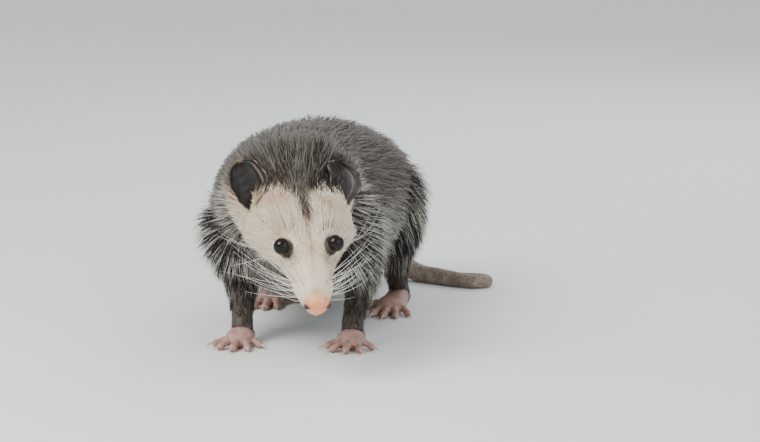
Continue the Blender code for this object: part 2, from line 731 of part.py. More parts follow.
def leg_roots(rng, side):
    """Roots of the longer hair on the outer side of an upper leg."""
    roots = []
    for place, count in ((14.0, 2), (27.0, 3)):
        for j in range(count):
            angle = math.radians(-95.0 + 150.0 * (j + rng.uniform(0.3, 0.7)) / count)
            angle = angle if side > 0 else math.pi - angle
            roots.append((place + rng.uniform(-3, 3), angle, 27.0 * rng.uniform(0.9, 1.1), 20.0, 0.0))
    return roots


def upper_leg(name, leg_plan, extra=0.0):
    """Shoulder to elbow or hip to knee with its longer hair, or the space that they take."""
    keys, split, roots = leg_plan
    made = limb_length(name, keys, 0.0, split, 13.0, 14, extra)

    def surface(s, angle):
        return limb_surface(keys, s, angle)

    def depth(s, angle):
        row = read_curve(keys, s)
        return row[:, 5] * (1 - row[:, 6]) + 1.5

    return combine(made, [locks(surface, depth, roots, LEG, extra)], "UNION")


def lower_leg(name, leg_plan, extra=0.0):
    """Elbow to wrist or knee to ankle, or the space that it takes."""
    keys, split, _ = leg_plan
    return limb_length(name, keys, split, keys[-1, 0], 10.0, 12, extra)


def neck_core(name, extra=0.0):
    """The neck's own body under the locks, or the space that it takes."""
    return body_length(name, HEAD_LENGTH, TORSO_START, 8.0, 26, COAT, extra)


def torso_core(name, extra=0.0):
    """The torso's own body under the locks, or the space that it takes."""
    return body_length(name, TORSO_START, RUMP_END, 17.0, 26, COAT, extra)


def merge_flats(made):
    """Joins faces that lie in one plane, where the body stays closed."""
    bm = bmesh.new()
    bm.from_mesh(made.data)
    bmesh.ops.remove_doubles(bm, verts=bm.verts, dist=SMALLEST_EDGE * MM)
    bmesh.ops.dissolve_limit(bm, angle_limit=FLAT_ANGLE, verts=bm.verts, edges=bm.edges)
    bmesh.ops.triangulate(bm, faces=bm.faces)
    if all(e.is_manifold for e in bm.edges):
        bm.to_mesh(made.data)
    bm.free()


def settle(objects):
    """Moves everything so that the middle of the whole stands over the origin."""
    corners = np.array([tuple(v.co) for o in objects for v in o.data.vertices])
    middle = (corners.min(axis=0) + corners.max(axis=0)) / 2
    for o in objects:
        for v in o.data.vertices:
            v.co.x -= middle[0]
            v.co.y -= middle[1]


for old in list(bpy.data.objects):
    bpy.data.objects.remove(old)

ANIMAL = bpy.data.collections.new("opossum")
bpy.context.scene.collection.children.link(ANIMAL)

COAT = finish("grizzled coat", (0.33, 0.31, 0.28), 0.85)
FACE = finish("white face", (0.72, 0.67, 0.58), 0.8)
SKIN = finish("pink nose", (0.62, 0.30, 0.22), 0.5)
EYE = finish("dark eye", (0.012, 0.008, 0.006), 0.08)
EAR = finish("black ear", (0.05, 0.042, 0.04), 0.6)
LEG = finish("dark leg", (0.09, 0.075, 0.065), 0.8)
FOOT = finish("bare foot", (0.42, 0.28, 0.24), 0.6)
TAIL = finish("scaly tail", (0.30, 0.22, 0.18), 0.65)

rng = np.random.default_rng(7)

head_rows = coat_roots(rng, HEAD_ROWS, HEAD_LOCKS_ROUND, HEAD_LOCK_LENGTH, HEAD_LOCK_WIDTH)
head_roots = [r for r in head_rows if not near_ear(r)]
neck_roots = coat_roots(rng, NECK_ROWS, NECK_LOCKS_ROUND, NECK_LOCK_LENGTH, NECK_LOCK_WIDTH)
torso_roots = []
for row_place in TORSO_ROWS:
    reach = min(TORSO_LOCK_LENGTH, RUMP_END + 6 - row_place)
    turned = 11.0 * len(torso_roots)
    torso_roots += coat_roots(rng, (row_place,), TORSO_LOCKS_ROUND, reach, TORSO_LOCK_WIDTH, turned)

nose = body_length("nose", 0.0, NOSE_END, 1.6, 20, SKIN)
combine(nose, [nostril_cutter(1), nostril_cutter(-1)], "DIFFERENCE")

head_coat = locks(body_surface, body_depth, head_roots, FACE)
combine(head_coat, [ear("cutter", 1, GAP)], "DIFFERENCE", whole=True)
combine(head_coat, [ear("cutter", -1, GAP)], "DIFFERENCE", whole=True)
head = head_body("head")
combine(head, [lid_ring(1), lid_ring(-1), head_coat], "UNION")
combine(head, [eyeball("socket", 1, GAP), eyeball("socket", -1, GAP)], "DIFFERENCE")
eyeball("eye_left", 1)
eyeball("eye_right", -1)

combine(jaw(), [head_body("cutter", GAP)], "DIFFERENCE")
combine(ear("ear_left", 1), [head_body("cutter", GAP)], "DIFFERENCE")
combine(ear("ear_right", -1), [head_body("cutter", GAP)], "DIFFERENCE")

neck_coat = locks(body_surface, body_depth, neck_roots, COAT)
combine(neck_coat, [ear("cutter", 1, GAP)], "DIFFERENCE", whole=True)
combine(neck_coat, [ear("cutter", -1, GAP)], "DIFFERENCE", whole=True)
neck = combine(neck_core("neck"), [neck_coat], "UNION")
combine(neck, [locks(body_surface, body_depth, head_roots, FACE, GAP)], "DIFFERENCE")
combine(neck, [body_length("cutter", NOSE_END, HEAD_LENGTH, 7.6, 26, FACE, GAP)], "DIFFERENCE")

torso_coat = locks(body_surface, body_depth, torso_roots, COAT)
for leg_side in (1, -1):
    for kind, rows, split, toes, sole, clawless in (
        ("fore", FORELIMB, ELBOW_STATION, FORE_TOES, FORE_SOLE, ()),
        ("hind", HINDLIMB, KNEE_STATION, HIND_TOES, HIND_SOLE, (0,)),
    ):
        hand = "left" if leg_side > 0 else "right"
        keys = limb_curve(rows, f"{kind}leg_{hand}", leg_side)
        plan = (keys, split, leg_roots(rng, leg_side))
        upper = upper_leg(f"{kind}leg_upper_{hand}", plan)
        combine(upper, [neck_core("cutter", GAP)], "DIFFERENCE")
        combine(upper, [torso_core("cutter", GAP)], "DIFFERENCE")
        combine(torso_coat, [upper_leg("cutter", plan, GAP)], "DIFFERENCE", whole=True)
        combine(torso_coat, [lower_leg("cutter", plan, GAP)], "DIFFERENCE", whole=True)
        combine(neck, [upper_leg("cutter", plan, GAP)], "DIFFERENCE")
        combine(neck, [lower_leg("cutter", plan, GAP)], "DIFFERENCE")
        lower = lower_leg(f"{kind}leg_lower_{hand}", plan)
        combine(lower, [neck_core("cutter", GAP)], "DIFFERENCE")
        combine(lower, [torso_core("cutter", GAP)], "DIFFERENCE")
        combine(lower, [upper_leg("cutter", plan, GAP)], "DIFFERENCE")
        foot(f"{kind}foot_{hand}", sole, toes, keys[-1, 1:4], leg_side, clawless)
        combine(lower, [sole_body("cutter", sole, keys[-1, 1:4], leg_side, GAP)], "DIFFERENCE")

torso = combine(torso_core("torso"), [torso_coat], "UNION")
combine(torso, [locks(body_surface, body_depth, neck_roots, COAT, GAP)], "DIFFERENCE")
combine(torso, [neck_core("cutter", GAP)], "DIFFERENCE")

cuts = (RUMP_END, *TAIL_CUTS, SPINE_LENGTH)
for tail_name, begin, end in zip(("tail_root", "tail_upper", "tail_middle", "tail_lower", "tail_tip"), cuts, cuts[1:]):
    length = body_length(tail_name, begin, end, 8.0, 10, TAIL)
    combine(length, [floor_block()], "DIFFERENCE")
combine(torso, [body_length("cutter", RUMP_END, TAIL_CUTS[0], 8.0, 10, TAIL, GAP)], "DIFFERENCE")

for node in ANIMAL.objects:
    merge_flats(node)
settle(list(ANIMAL.objects))
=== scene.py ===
"""A life-size opossum in its winter coat, dressed over its solids.

One skin, eyes, claws, whiskers and a coat of solid tufts. Tables of sections are in millimetres in the
animal's own frame, where it faces -Y and its left is +X. PLACE brings that frame to the solids' own.
"""

import json
import math

import bmesh
import bpy
import numpy as np
from mathutils import Matrix, Vector
from mathutils.bvhtree import BVHTree
from mathutils.kdtree import KDTree

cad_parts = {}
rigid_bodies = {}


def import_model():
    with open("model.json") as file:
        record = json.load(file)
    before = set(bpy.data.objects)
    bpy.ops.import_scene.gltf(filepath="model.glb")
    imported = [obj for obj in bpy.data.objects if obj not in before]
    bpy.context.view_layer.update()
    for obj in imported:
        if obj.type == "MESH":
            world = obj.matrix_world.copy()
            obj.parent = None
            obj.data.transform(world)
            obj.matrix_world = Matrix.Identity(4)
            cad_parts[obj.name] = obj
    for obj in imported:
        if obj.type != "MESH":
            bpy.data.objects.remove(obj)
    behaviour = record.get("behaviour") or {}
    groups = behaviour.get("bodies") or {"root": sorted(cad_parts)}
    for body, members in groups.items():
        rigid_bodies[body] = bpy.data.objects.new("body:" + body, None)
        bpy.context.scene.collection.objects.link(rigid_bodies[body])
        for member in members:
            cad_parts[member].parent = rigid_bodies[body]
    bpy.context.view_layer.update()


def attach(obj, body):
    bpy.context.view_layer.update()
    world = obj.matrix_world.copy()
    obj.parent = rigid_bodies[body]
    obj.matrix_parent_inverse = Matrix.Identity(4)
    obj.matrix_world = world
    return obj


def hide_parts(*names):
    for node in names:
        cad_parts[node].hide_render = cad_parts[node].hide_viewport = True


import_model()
bpy.ops.object.select_all(action="DESELECT")

# The trunk: head, neck, body and tail are one length of flesh under the coat, round in section and
# drawn along the spine. Its sections give the flesh and, apart from it, how deep the coat stands on it.

MM = 0.001
NOSE_TIP = np.array([57.0, -235.0, 58.0])
HEAD_LENGTH = 118.0
NECK_END = 160.0
RUMP_END = 433.0
HEAD_YAW, HEAD_PITCH, HEAD_ROLL = 23.5, 38.0, 2.0

# Distance behind the nose tip, half width, height above the axis, depth below it, then the depth of the
# coat on top, at the sides and underneath.
HEAD = (
    (0.0, 5.2, 3.8, 6.0, 0.0, 0.0, 0.0),
    (1.6, 7.6, 5.7, 8.6, 0.0, 0.0, 0.0),
    (5.0, 8.8, 6.8, 10.2, 0.2, 0.2, 0.2),
    (10.0, 10.6, 7.8, 10.0, 0.8, 1.2, 0.8),
    (20.0, 13.4, 10.2, 10.6, 1.4, 2.0, 1.2),
    (32.0, 16.2, 12.6, 12.0, 2.0, 2.6, 1.6),
    (44.0, 20.4, 15.4, 13.4, 2.6, 3.4, 3.0),
    (55.0, 25.6, 18.0, 16.4, 3.6, 5.5, 7.0),
    (68.0, 31.6, 20.8, 23.0, 4.8, 9.0, 12.0),
    (82.0, 36.4, 23.2, 29.0, 6.5, 14.0, 15.0),
    (95.0, 37.6, 25.0, 32.0, 9.0, 17.0, 16.0),
    (108.0, 37.0, 27.0, 34.0, 12.0, 18.0, 16.0),
    (118.0, 36.4, 29.0, 34.5, 15.0, 18.0, 14.0),
)
# Centre x, y, z, the way the section faces as degrees to the left and down, then the same columns.
BODY = (
    (13.0, -127.0, 125.0, 15.0, 25.0, 38.0, 32.0, 36.0, 20.0, 20.0, 15.0),
    (3.5, -101.0, 115.0, 8.0, 15.0, 44.0, 39.0, 46.0, 23.0, 22.0, 16.0),
    (-2.0, -72.0, 107.0, 3.0, 8.0, 49.0, 44.0, 51.0, 24.0, 24.0, 17.0),
    (-3.0, -30.0, 101.0, 0.0, 3.0, 54.0, 46.0, 52.0, 24.0, 25.0, 18.0),
    (-1.5, 20.0, 97.0, 0.0, 1.0, 57.0, 46.0, 51.0, 24.0, 26.0, 20.0),
    (0.0, 66.0, 93.0, 0.0, -3.0, 56.0, 42.0, 46.0, 23.0, 25.0, 20.0),
    (0.0, 102.0, 88.0, 0.0, -9.0, 50.0, 39.0, 41.0, 23.0, 25.0, 18.0),
    (0.0, 126.0, 84.0, 0.0, -17.0, 38.0, 31.0, 34.0, 22.0, 24.0, 16.0),
    (0.0, 142.0, 78.0, 0.0, -27.0, 25.0, 22.0, 23.0, 17.0, 18.0, 12.0),
    (1.0, 157.0, 70.0, -4.0, -40.0, 14.0, 14.0, 14.0, 9.0, 9.0, 7.0),
)
# Centre x, y, z, half width, half height and the depth of the coat all round.
TAIL = (
    (5.0, 173.0, 54.0, 10.6, 10.4, 2.5),
    (13.0, 186.0, 34.0, 9.2, 9.2, 0.5),
    (28.0, 190.0, 17.0, 8.4, 8.4, 0.0),
    (48.0, 184.0, 7.6, 7.7, 7.7, 0.0),
    (69.0, 174.0, 6.7, 7.0, 7.0, 0.0),
    (88.0, 166.0, 6.0, 6.3, 6.3, 0.0),
    (101.0, 163.5, 5.5, 5.8, 5.8, 0.0),
    (109.0, 169.5, 5.0, 5.3, 5.3, 0.0),
    (105.5, 179.5, 4.6, 4.9, 4.9, 0.0),
    (92.0, 185.5, 4.2, 4.4, 4.4, 0.0),
    (74.0, 192.5, 3.5, 3.7, 3.7, 0.0),
    (56.0, 200.5, 2.8, 3.0, 3.0, 0.0),
    (41.0, 207.5, 2.1, 2.2, 2.2, 0.0),
)
# Swellings and hollows of the head: distance behind the nose, angle above the widest line in degrees,
# height, and how far each spreads along and around. They are the whisker pads, brows, bridge,
# cheekbones and crown.
RELIEF = (
    (18.0, -12.0, 1.5, 8.0, 24.0),
    (60.0, 62.0, 1.8, 8.0, 16.0),
    (44.0, 38.0, -1.5, 7.0, 16.0),
    (72.0, 4.0, 1.6, 12.0, 26.0),
    (88.0, 90.0, -1.5, 16.0, 16.0),
)
# Where the coat itself stands out further, in the same columns: the jowls and the fringe along the
# lower sides.
FRINGE = (
    (58.0, -46.0, 6.0, 15.0, 22.0),
    (90.0, -42.0, 7.0, 20.0, 26.0),
    (150.0, -44.0, 4.0, 42.0, 24.0),
    (285.0, -48.0, 4.0, 95.0, 22.0),
)


def unit(v):
    """Vectors scaled to length one."""
    return v / np.maximum(np.linalg.norm(v, axis=-1, keepdims=True), 1e-9)


def read_curve(keys, at):
    """Rows of keys joined by one smooth curve; column 0 is the length along it, and at says where to
    read it."""
    x, y = keys[:, 0], keys[:, 1:]
    at = np.atleast_1d(np.asarray(at, float))
    step = np.diff(x)[:, None]
    slope = np.diff(y, axis=0) / step
    inner = (slope[1:] * step[:-1] + slope[:-1] * step[1:]) / (step[1:] + step[:-1])
    tangent = np.vstack([slope[:1], inner, slope[-1:]])
    i = np.clip(np.searchsorted(x, at) - 1, 0, len(x) - 2)
    t = ((at - x[i]) / step[i, 0])[:, None]
    h = step[i]
    start = (2 * t**3 - 3 * t**2 + 1) * y[i] + (t**3 - 2 * t**2 + t) * h * tangent[i]
    return start + (3 * t**2 - 2 * t**3) * y[i + 1] + (t**3 - t**2) * h * tangent[i + 1]


def facing(yaw, pitch):
    """The direction that many degrees to the left of straight ahead and down."""
    yaw, pitch = math.radians(yaw), math.radians(pitch)
    return np.array([math.cos(pitch) * math.sin(yaw), -math.cos(pitch) * math.cos(yaw), -math.sin(pitch)])


def head_axes():
    """Forward, left and up for the head."""
    forward, roll = facing(HEAD_YAW, HEAD_PITCH), math.radians(HEAD_ROLL)
    level = unit(np.cross([0.0, 0.0, 1.0], forward))
    left = level * math.cos(roll) + np.cross(forward, level) * math.sin(roll)
    return forward, left, np.cross(forward, left)


def spine_keys():
    """Every section from the nose tip to the tail tip: length along the middle line, place, sizes and
    facing."""
    forward = head_axes()[0]
    rows = [[*(NOSE_TIP - row[0] * forward), *row[1:], *forward] for row in HEAD]
    rows += [[*row[:3], *row[5:], *facing(row[3], row[4])] for row in BODY]
    path = np.array([row[:3] for row in (BODY[-1], *TAIL)])
    ways = unit(-np.gradient(path, axis=0))
    rows += [[*row[:5], row[4], *row[5:] * 3, *way] for row, way in zip(TAIL, ways[1:])]
    rows = np.array(rows)
    along = np.concatenate([[0.0], np.cumsum(np.linalg.norm(np.diff(rows[:, :3], axis=0), axis=1))])
    return np.column_stack([along, rows])


SPINE = spine_keys()
SPINE_LENGTH = SPINE[-1, 0]


def spine_axes(s):
    """Forward, left and up at each place along the spine; the head's roll fades out over the neck."""
    forward = unit(read_curve(SPINE, s)[:, -3:])
    left = unit(np.cross([0.0, 0.0, 1.0], forward))
    up = np.cross(forward, left)
    fade = np.clip((NECK_END - s) / (NECK_END - HEAD_LENGTH), 0, 1)
    roll = np.radians(HEAD_ROLL * fade)[:, None]
    left = left * np.cos(roll) + up * np.sin(roll)
    return forward, left, np.cross(forward, left)


def swell(rows, s, angle):
    """How far the swellings and hollows of a table lift the surface."""
    degrees = np.degrees(np.arctan2(np.sin(angle), np.abs(np.cos(angle))))
    total = np.zeros(np.broadcast(s, angle).shape)
    for back, place, height, spread, turn in rows:
        total = total + height * np.exp(-(((s - back) / spread) ** 2) - ((degrees - place) / turn) ** 2)
    return total


def trunk_surface(s, angle):
    """Points on the trunk's flesh at lengths s and angles from the animal's left, upwards positive."""
    s, angle = np.broadcast_arrays(np.asarray(s, float), np.asarray(angle, float))
    shape = s.shape
    s, angle = s.ravel(), angle.ravel()
    row = read_curve(SPINE, s)
    _, left, up = spine_axes(s)
    height = np.where(np.sin(angle) >= 0, row[:, 4], row[:, 5])
    lift = swell(RELIEF, s, angle)
    points = row[:, :3] + left * ((row[:, 3] + lift) * np.cos(angle))[:, None]
    points = points + up * ((height + lift) * np.sin(angle))[:, None]
    return points.reshape(*shape, 3)


def trunk_normal(s, angle):
    """Outward directions at those places."""
    along = trunk_surface(s + 1.0, angle) - trunk_surface(s - 1.0, angle)
    around = trunk_surface(s, angle + 0.02) - trunk_surface(s, angle - 0.02)
    return unit(np.cross(around, along))


def coat_depth(s, angle):
    """How deep the coat stands on the flesh of the trunk."""
    row = read_curve(SPINE, s)
    over = np.where(np.sin(angle) > 0, row[:, 6], row[:, 8])
    return over * np.sin(angle) ** 2 + row[:, 7] * np.cos(angle) ** 2 + swell(FRINGE, s, angle)


# The eyes: large, round, wet and almost black, each a ball set in the head behind its lids. PLACE is
# the step from the animal's frame to that of the solids.

PLACE = np.array([-15.56, 14.18, 0.0])
EYE_BACK = 53.0
EYE_ANGLE = 42.0
EYE_RADIUS = 6.5
EYE_SINK = 3.4
EYE_FORWARD = 0.35


def eye_place(side):
    """Middle of an eyeball, and the directions in which it looks, towards the nose and upwards over
    it."""
    angle = math.radians(EYE_ANGLE if side > 0 else 180 - EYE_ANGLE)
    s, a = np.array([EYE_BACK]), np.array([angle])
    out = trunk_normal(s, a)[0]
    forward, _, top = head_axes()
    look = unit(out + EYE_FORWARD * forward)
    along = unit(forward - look * (forward @ look))
    over = unit(np.cross(along, look))
    over = over if over @ top > 0 else -over
    return trunk_surface(s, a)[0] - out * EYE_SINK, look, along, over


def to_world(points):
    """Points of the animal's frame in metres, where its solids stand."""
    return (np.asarray(points) + PLACE) * MM


def plug(tree, socket, source):
    """Wires a socket to where its value comes from, or sets the value on it."""
    if isinstance(source, bpy.types.NodeSocket):
        tree.links.new(source, socket)
    else:
        socket.default_value = source


def node(tree, kind, wires=None, **values):
    """One shader node, with wires as {socket: where it comes from} and values set on the node itself."""
    made = tree.nodes.new(kind)
    for name, value in values.items():
        setattr(made, name, value)
    for name, source in (wires or {}).items():
        plug(tree, made.inputs[name], source)
    return made


def finish(name, roughness, **sockets):
    """A new material with its shader's plain values set, its tree and its shader."""
    made = bpy.data.materials.new(name)
    made.use_nodes = True
    shader = made.node_tree.nodes["Principled BSDF"]
    shader.inputs["Roughness"].default_value = roughness
    for socket, value in sockets.items():
        shader.inputs[socket.replace("_", " ")].default_value = value
    return made, made.node_tree, shader


def mix(tree, factor, a, b):
    """A blend of two colours by a mask."""
    made = node(tree, "ShaderNodeMix", data_type="RGBA")
    for place, source in ((0, factor), (6, a), (7, b)):
        plug(tree, made.inputs[place], source)
    return made.outputs[2]


def sums(tree, how, a, b, clamp=False):
    """One step of arithmetic on masks."""
    made = node(tree, "ShaderNodeMath", operation=how, use_clamp=clamp)
    plug(tree, made.inputs[0], a)
    plug(tree, made.inputs[1], b)
    return made.outputs[0]


def ramp(tree, value, low, high, start=0.0, end=1.0):
    """A mask that goes from start to end as a value goes from low to high."""
    wires = {"Value": value, "From Min": low, "From Max": high, "To Min": start, "To Max": end}
    return node(tree, "ShaderNodeMapRange", wires).outputs[0]


def noise(tree, place, scale, detail):
    """Soft noise with so many features to a metre."""
    wires = {"Vector": place, "Scale": scale, "Detail": detail}
    return node(tree, "ShaderNodeTexNoise", wires).outputs["Fac"]


def read(tree, name):
    """The value that a piece carries on its vertices under a name."""
    return node(tree, "ShaderNodeAttribute", attribute_name=name).outputs["Fac"]


def eye_material():
    """Wet black-brown eye with a slightly paler iris round the wide pupil."""
    made, tree, shader = finish("wet eye", 0.05, IOR=1.34)
    ring = read(tree, "iris")
    colour = mix(tree, ring, (0.001, 0.001, 0.001, 1.0), (0.006, 0.0035, 0.002, 1.0))
    tree.links.new(colour, shader.inputs["Base Color"])
    return made


EYE_FINISH = eye_material()
PUPIL_SHARE = 0.72

for side, name in ((1, "eye_left"), (-1, "eye_right")):
    centre, look, along, over = eye_place(side)
    bpy.ops.mesh.primitive_uv_sphere_add(segments=64, ring_count=40, radius=EYE_RADIUS * MM)
    eye = bpy.context.object
    eye.name = eye.data.name = name + "_ball"
    turn = Matrix((Vector(along), Vector(over), Vector(look))).transposed()
    iris = eye.data.attributes.new("iris", "FLOAT", "POINT")
    for v in eye.data.vertices:
        height = v.co.z / (EYE_RADIUS * MM)
        iris.data[v.index].value = min(max((PUPIL_SHARE - height) / 0.06, 0.0), 1.0)
        bulge = 1.0 + 0.05 * max(height - 0.6, 0.0)
        v.co = turn @ (v.co * bulge) + Vector(to_world(centre))
    bpy.ops.object.shade_smooth()
    eye.data.materials.append(EYE_FINISH)
    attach(eye, "root")
    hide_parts(name)
    bpy.ops.object.select_all(action="DESELECT")

# The flesh of the trunk, from the nose pad to the tip of the tail: a closed tube of fine rings, with
# the lids drawn over the eyeballs, the nostrils pressed into the nose pad and the line of the mouth
# along the muzzle.

SIDES = 144
BOTTOM = -math.pi / 2
NOSE_STEP, FACE_STEP, CHEEK_STEP, BODY_STEP, TAIL_STEP = 0.6, 1.0, 1.7, 5.0, 2.4
CAP_SHARES = (0.9, 0.74, 0.52, 0.26)
CAP_BULGE = 0.9

LID_REACH = 17.0
OPEN_LONG, OPEN_HIGH = 5.8, 5.7
LID_COVER, LID_SOFT, LID_EDGE, LID_TURN = 0.75, 1.2, 0.3, 4.5
ORBIT_RISE, ORBIT_SPREAD = 1.6, 10.0

NOSTRIL_BACK, NOSTRIL_OUT, NOSTRIL_UP = 1.2, 7.0, 1.8
NOSTRIL_DEPTH = 3.4
PHILTRUM_DEPTH = 0.7

LIP_START, LIP_END = 9.0, 60.0
LIP_RISE, LIP_GROOVE = 0.9, 1.3


def lip_angle(s):
    """How far under the widest line the lip runs, in radians."""
    return np.radians(np.interp(s, [LIP_START, 62.0], [-58.0, -34.0]))


def trunk_stations():
    """Where the rings lie, close together on the face and wide apart under the thick coat."""
    spans = ((0.0, 12.0, NOSE_STEP), (12.0, 70.0, FACE_STEP), (70.0, 118.0, CHEEK_STEP),
             (118.0, RUMP_END, BODY_STEP), (RUMP_END, SPINE_LENGTH, TAIL_STEP))
    return np.concatenate([np.arange(a, b - step / 2, step) for a, b, step in spans] + [[SPINE_LENGTH]])


def closed_tube(rings, ends):
    """Vertices and faces of a tube through rings, closed by a point at each end."""
    count, sides = rings.shape[:2]
    points = np.vstack([rings.reshape(-1, 3), ends])
    i, j = np.meshgrid(np.arange(count - 1), np.arange(sides), indexing="ij")
    k = (j + 1) % sides
    here, beyond = i * sides, (i + 1) * sides
    quads = np.stack([here + j, here + k, beyond + k, beyond + j], -1).reshape(-1, 4)
    faces = [tuple(q) for q in quads.tolist()]
    first, last = len(points) - 2, len(points) - 1
    top = (count - 1) * sides
    for j in range(sides):
        k = (j + 1) % sides
        faces.append((k, j, first))
        faces.append((top + j, top + k, last))
    return points, faces


def mesh_piece(name, points, faces):
    """A new object from points in metres, with its faces turned outwards."""
    mesh = bpy.data.meshes.new(name)
    mesh.from_pydata([tuple(p) for p in points], [], faces)
    bm = bmesh.new()
    bm.from_mesh(mesh)
    bmesh.ops.recalc_face_normals(bm, faces=bm.faces)
    bm.to_mesh(mesh)
    bm.free()
    made = bpy.data.objects.new(name, mesh)
    bpy.context.scene.collection.objects.link(made)
    return made


def lip_shape(s, angle):
    """The rolled lip and the groove of the mouth under it, as a lift of the muzzle's surface."""
    below = np.arctan2(np.sin(angle), np.abs(np.cos(angle)))
    away = (below - lip_angle(s)) * read_curve(SPINE, s)[:, 3] * 0.8
    fade = np.clip((s - LIP_START) / 5, 0, 1) * np.clip((LIP_END - s) / 12, 0, 1)
    roll = LIP_RISE * np.exp(-(((away - 0.8) / 1.3) ** 2))
    groove = LIP_GROOVE * np.exp(-(((away + 0.9) / 0.7) ** 2))
    return fade * (roll - groove), fade * np.exp(-(((away + 0.8) / 0.8) ** 2))


def pressed_nose(points, normals, s):
    """The nose pad with its two nostrils, each a comma that opens outwards, and the groove between
    them, and how dark each place is painted as shade inside the nostrils."""
    forward, left, top = head_axes()
    q = points - NOSE_TIP
    back, across, up = -q @ forward, q @ left, q @ top
    near = np.clip((12.0 - s) / 5, 0, 1)
    lift = -PHILTRUM_DEPTH * near * np.exp(-((across / 0.9) ** 2)) * np.clip((1.5 - up) / 3, 0, 1)
    dark = np.zeros(len(points))
    for side in (1, -1):
        over = (side * across - NOSTRIL_OUT) + 0.5 * (up - NOSTRIL_UP)
        tall = (up - NOSTRIL_UP) - 0.35 * (side * across - NOSTRIL_OUT)
        deep = (back - NOSTRIL_BACK) - 0.2 * (side * across - NOSTRIL_OUT)
        reach = (over / 2.2) ** 2 + (tall / 1.5) ** 2 + (deep / 3.2) ** 2
        pit = np.exp(-(reach**2) * 1.6) * near
        rim = np.exp(-((np.sqrt(reach) - 1.35) ** 2) * 9) * near
        lift = lift - NOSTRIL_DEPTH * pit + 0.35 * rim
        # Inside the nostrils the skin is marked near-black: painted shade in the pits.
        dark = np.maximum(dark, np.clip(pit * 1.5, 0, 1))
    return points + normals * lift[:, None], dark


def draped_eye(points, side):
    """Skin drawn over one eyeball: an orbit that rises to it, a lid that hugs it and an edge that turns
    in."""
    centre, look, along, over = eye_place(side)
    q = points - centre
    height, a, b = q @ look, q @ along, q @ over
    d = np.maximum(np.hypot(a, b), 1e-6)
    near = (d < LID_REACH) & (height > -9.0)
    corner = 1.0 + 0.06 * np.clip(a / d, 0, 1) ** 6
    ratio = np.hypot(a / (OPEN_LONG * corner), b / OPEN_HIGH)
    edge = d / np.maximum(ratio, 1e-6)
    rim = np.sqrt(np.maximum(EYE_RADIUS**2 - edge**2, 0.3)) + LID_EDGE
    lid = np.sqrt(np.maximum((EYE_RADIUS + LID_COVER) ** 2 - d**2, 0.0))
    orbit = height + ORBIT_RISE * np.exp(-((d / ORBIT_SPREAD) ** 2))
    hug = np.exp(lid / LID_SOFT) * (d < EYE_RADIUS + 1.5)
    draped = LID_SOFT * np.log(np.exp(np.clip(orbit, -20, 20) / LID_SOFT) + hug)
    inward = rim - LID_TURN * np.clip((1.0 - ratio) / 0.16, 0, 1)
    outward = np.maximum(draped, rim - 6 * (ratio - 1))
    edge_mix = np.clip((ratio - 1.0) / 0.1, 0, 1)
    new = np.where(ratio < 1.0, inward, rim * (1 - edge_mix) + outward * edge_mix)
    moved = points + look * np.where(near, new - height, 0.0)[:, None]
    dark = np.where(near, np.exp(-(((ratio - 1.04) / 0.13) ** 2)) + (ratio < 1.0), 0.0)
    canthus = near * np.exp(-(((a - OPEN_LONG * 1.15) / 1.0) ** 2) - ((b + 0.6) / 1.1) ** 2)
    return moved, np.clip(dark + 0.6 * canthus, 0, 1), np.where(near, np.exp(-((ratio / 1.9) ** 2)), 0.0)


def trunk_form():
    """The trunk's mesh with, for each vertex, its length along the spine and its angle."""
    stations = trunk_stations()
    angles = BOTTOM + np.linspace(0, 2 * math.pi, SIDES, endpoint=False)
    s, angle = np.meshgrid(stations, angles, indexing="ij")
    rings = trunk_surface(s, angle)
    first, last = rings[0].mean(axis=0), rings[-1].mean(axis=0)
    ahead, behind = spine_axes(stations[:1])[0][0], -spine_axes(stations[-1:])[0][0]
    nose_cap = [first + (rings[0] - first) * f + ahead * CAP_BULGE * (1 - f * f) for f in CAP_SHARES[::-1]]
    tail_cap = [last + (rings[-1] - last) * f + behind * 1.6 * math.sqrt(1 - f * f) for f in CAP_SHARES]
    rings = np.concatenate([nose_cap, rings, tail_cap])
    count = len(CAP_SHARES)
    s = np.concatenate([np.zeros((count, SIDES)), s, np.full((count, SIDES), SPINE_LENGTH)])
    angle = np.concatenate([np.tile(angles, (count, 1)), angle, np.tile(angles, (count, 1))])
    ends = np.array([first + ahead * CAP_BULGE, last + behind * 1.6])
    points, faces = closed_tube(rings, ends)
    made = mesh_piece("trunk", points * MM, faces)
    bm = bmesh.new()
    bm.from_mesh(made.data)
    along, around = bm.verts.layers.float.new("along_spine"), bm.verts.layers.float.new("around_spine")
    bm.verts.ensure_lookup_table()
    every_s = np.append(s.ravel(), [0.0, SPINE_LENGTH])
    every_angle = np.append(angle.ravel(), [0.0, 0.0])
    for v, one, two in zip(bm.verts, every_s, every_angle):
        v[along], v[around] = one, two
    for side in (1, -1):
        middle = Vector(eye_place(side)[0] * MM)
        close = [f for f in bm.faces if (f.calc_center_median() - middle).length < (LID_REACH - 5) * MM]
        edges = {e for f in close for e in f.edges}
        bmesh.ops.subdivide_edges(bm, edges=list(edges), cuts=2, use_grid_fill=True)
    bmesh.ops.triangulate(bm, faces=[f for f in bm.faces if len(f.verts) > 4])
    bm.verts.index_update()
    s = np.array([v[along] for v in bm.verts])
    angle = np.array([v[around] for v in bm.verts])
    points = np.array([v.co[:] for v in bm.verts]) / MM
    bm.to_mesh(made.data)
    bm.free()
    face = (s > 8.0) & (s < HEAD_LENGTH)
    points[face] = trunk_surface(s[face], angle[face])
    return made, points, s, angle


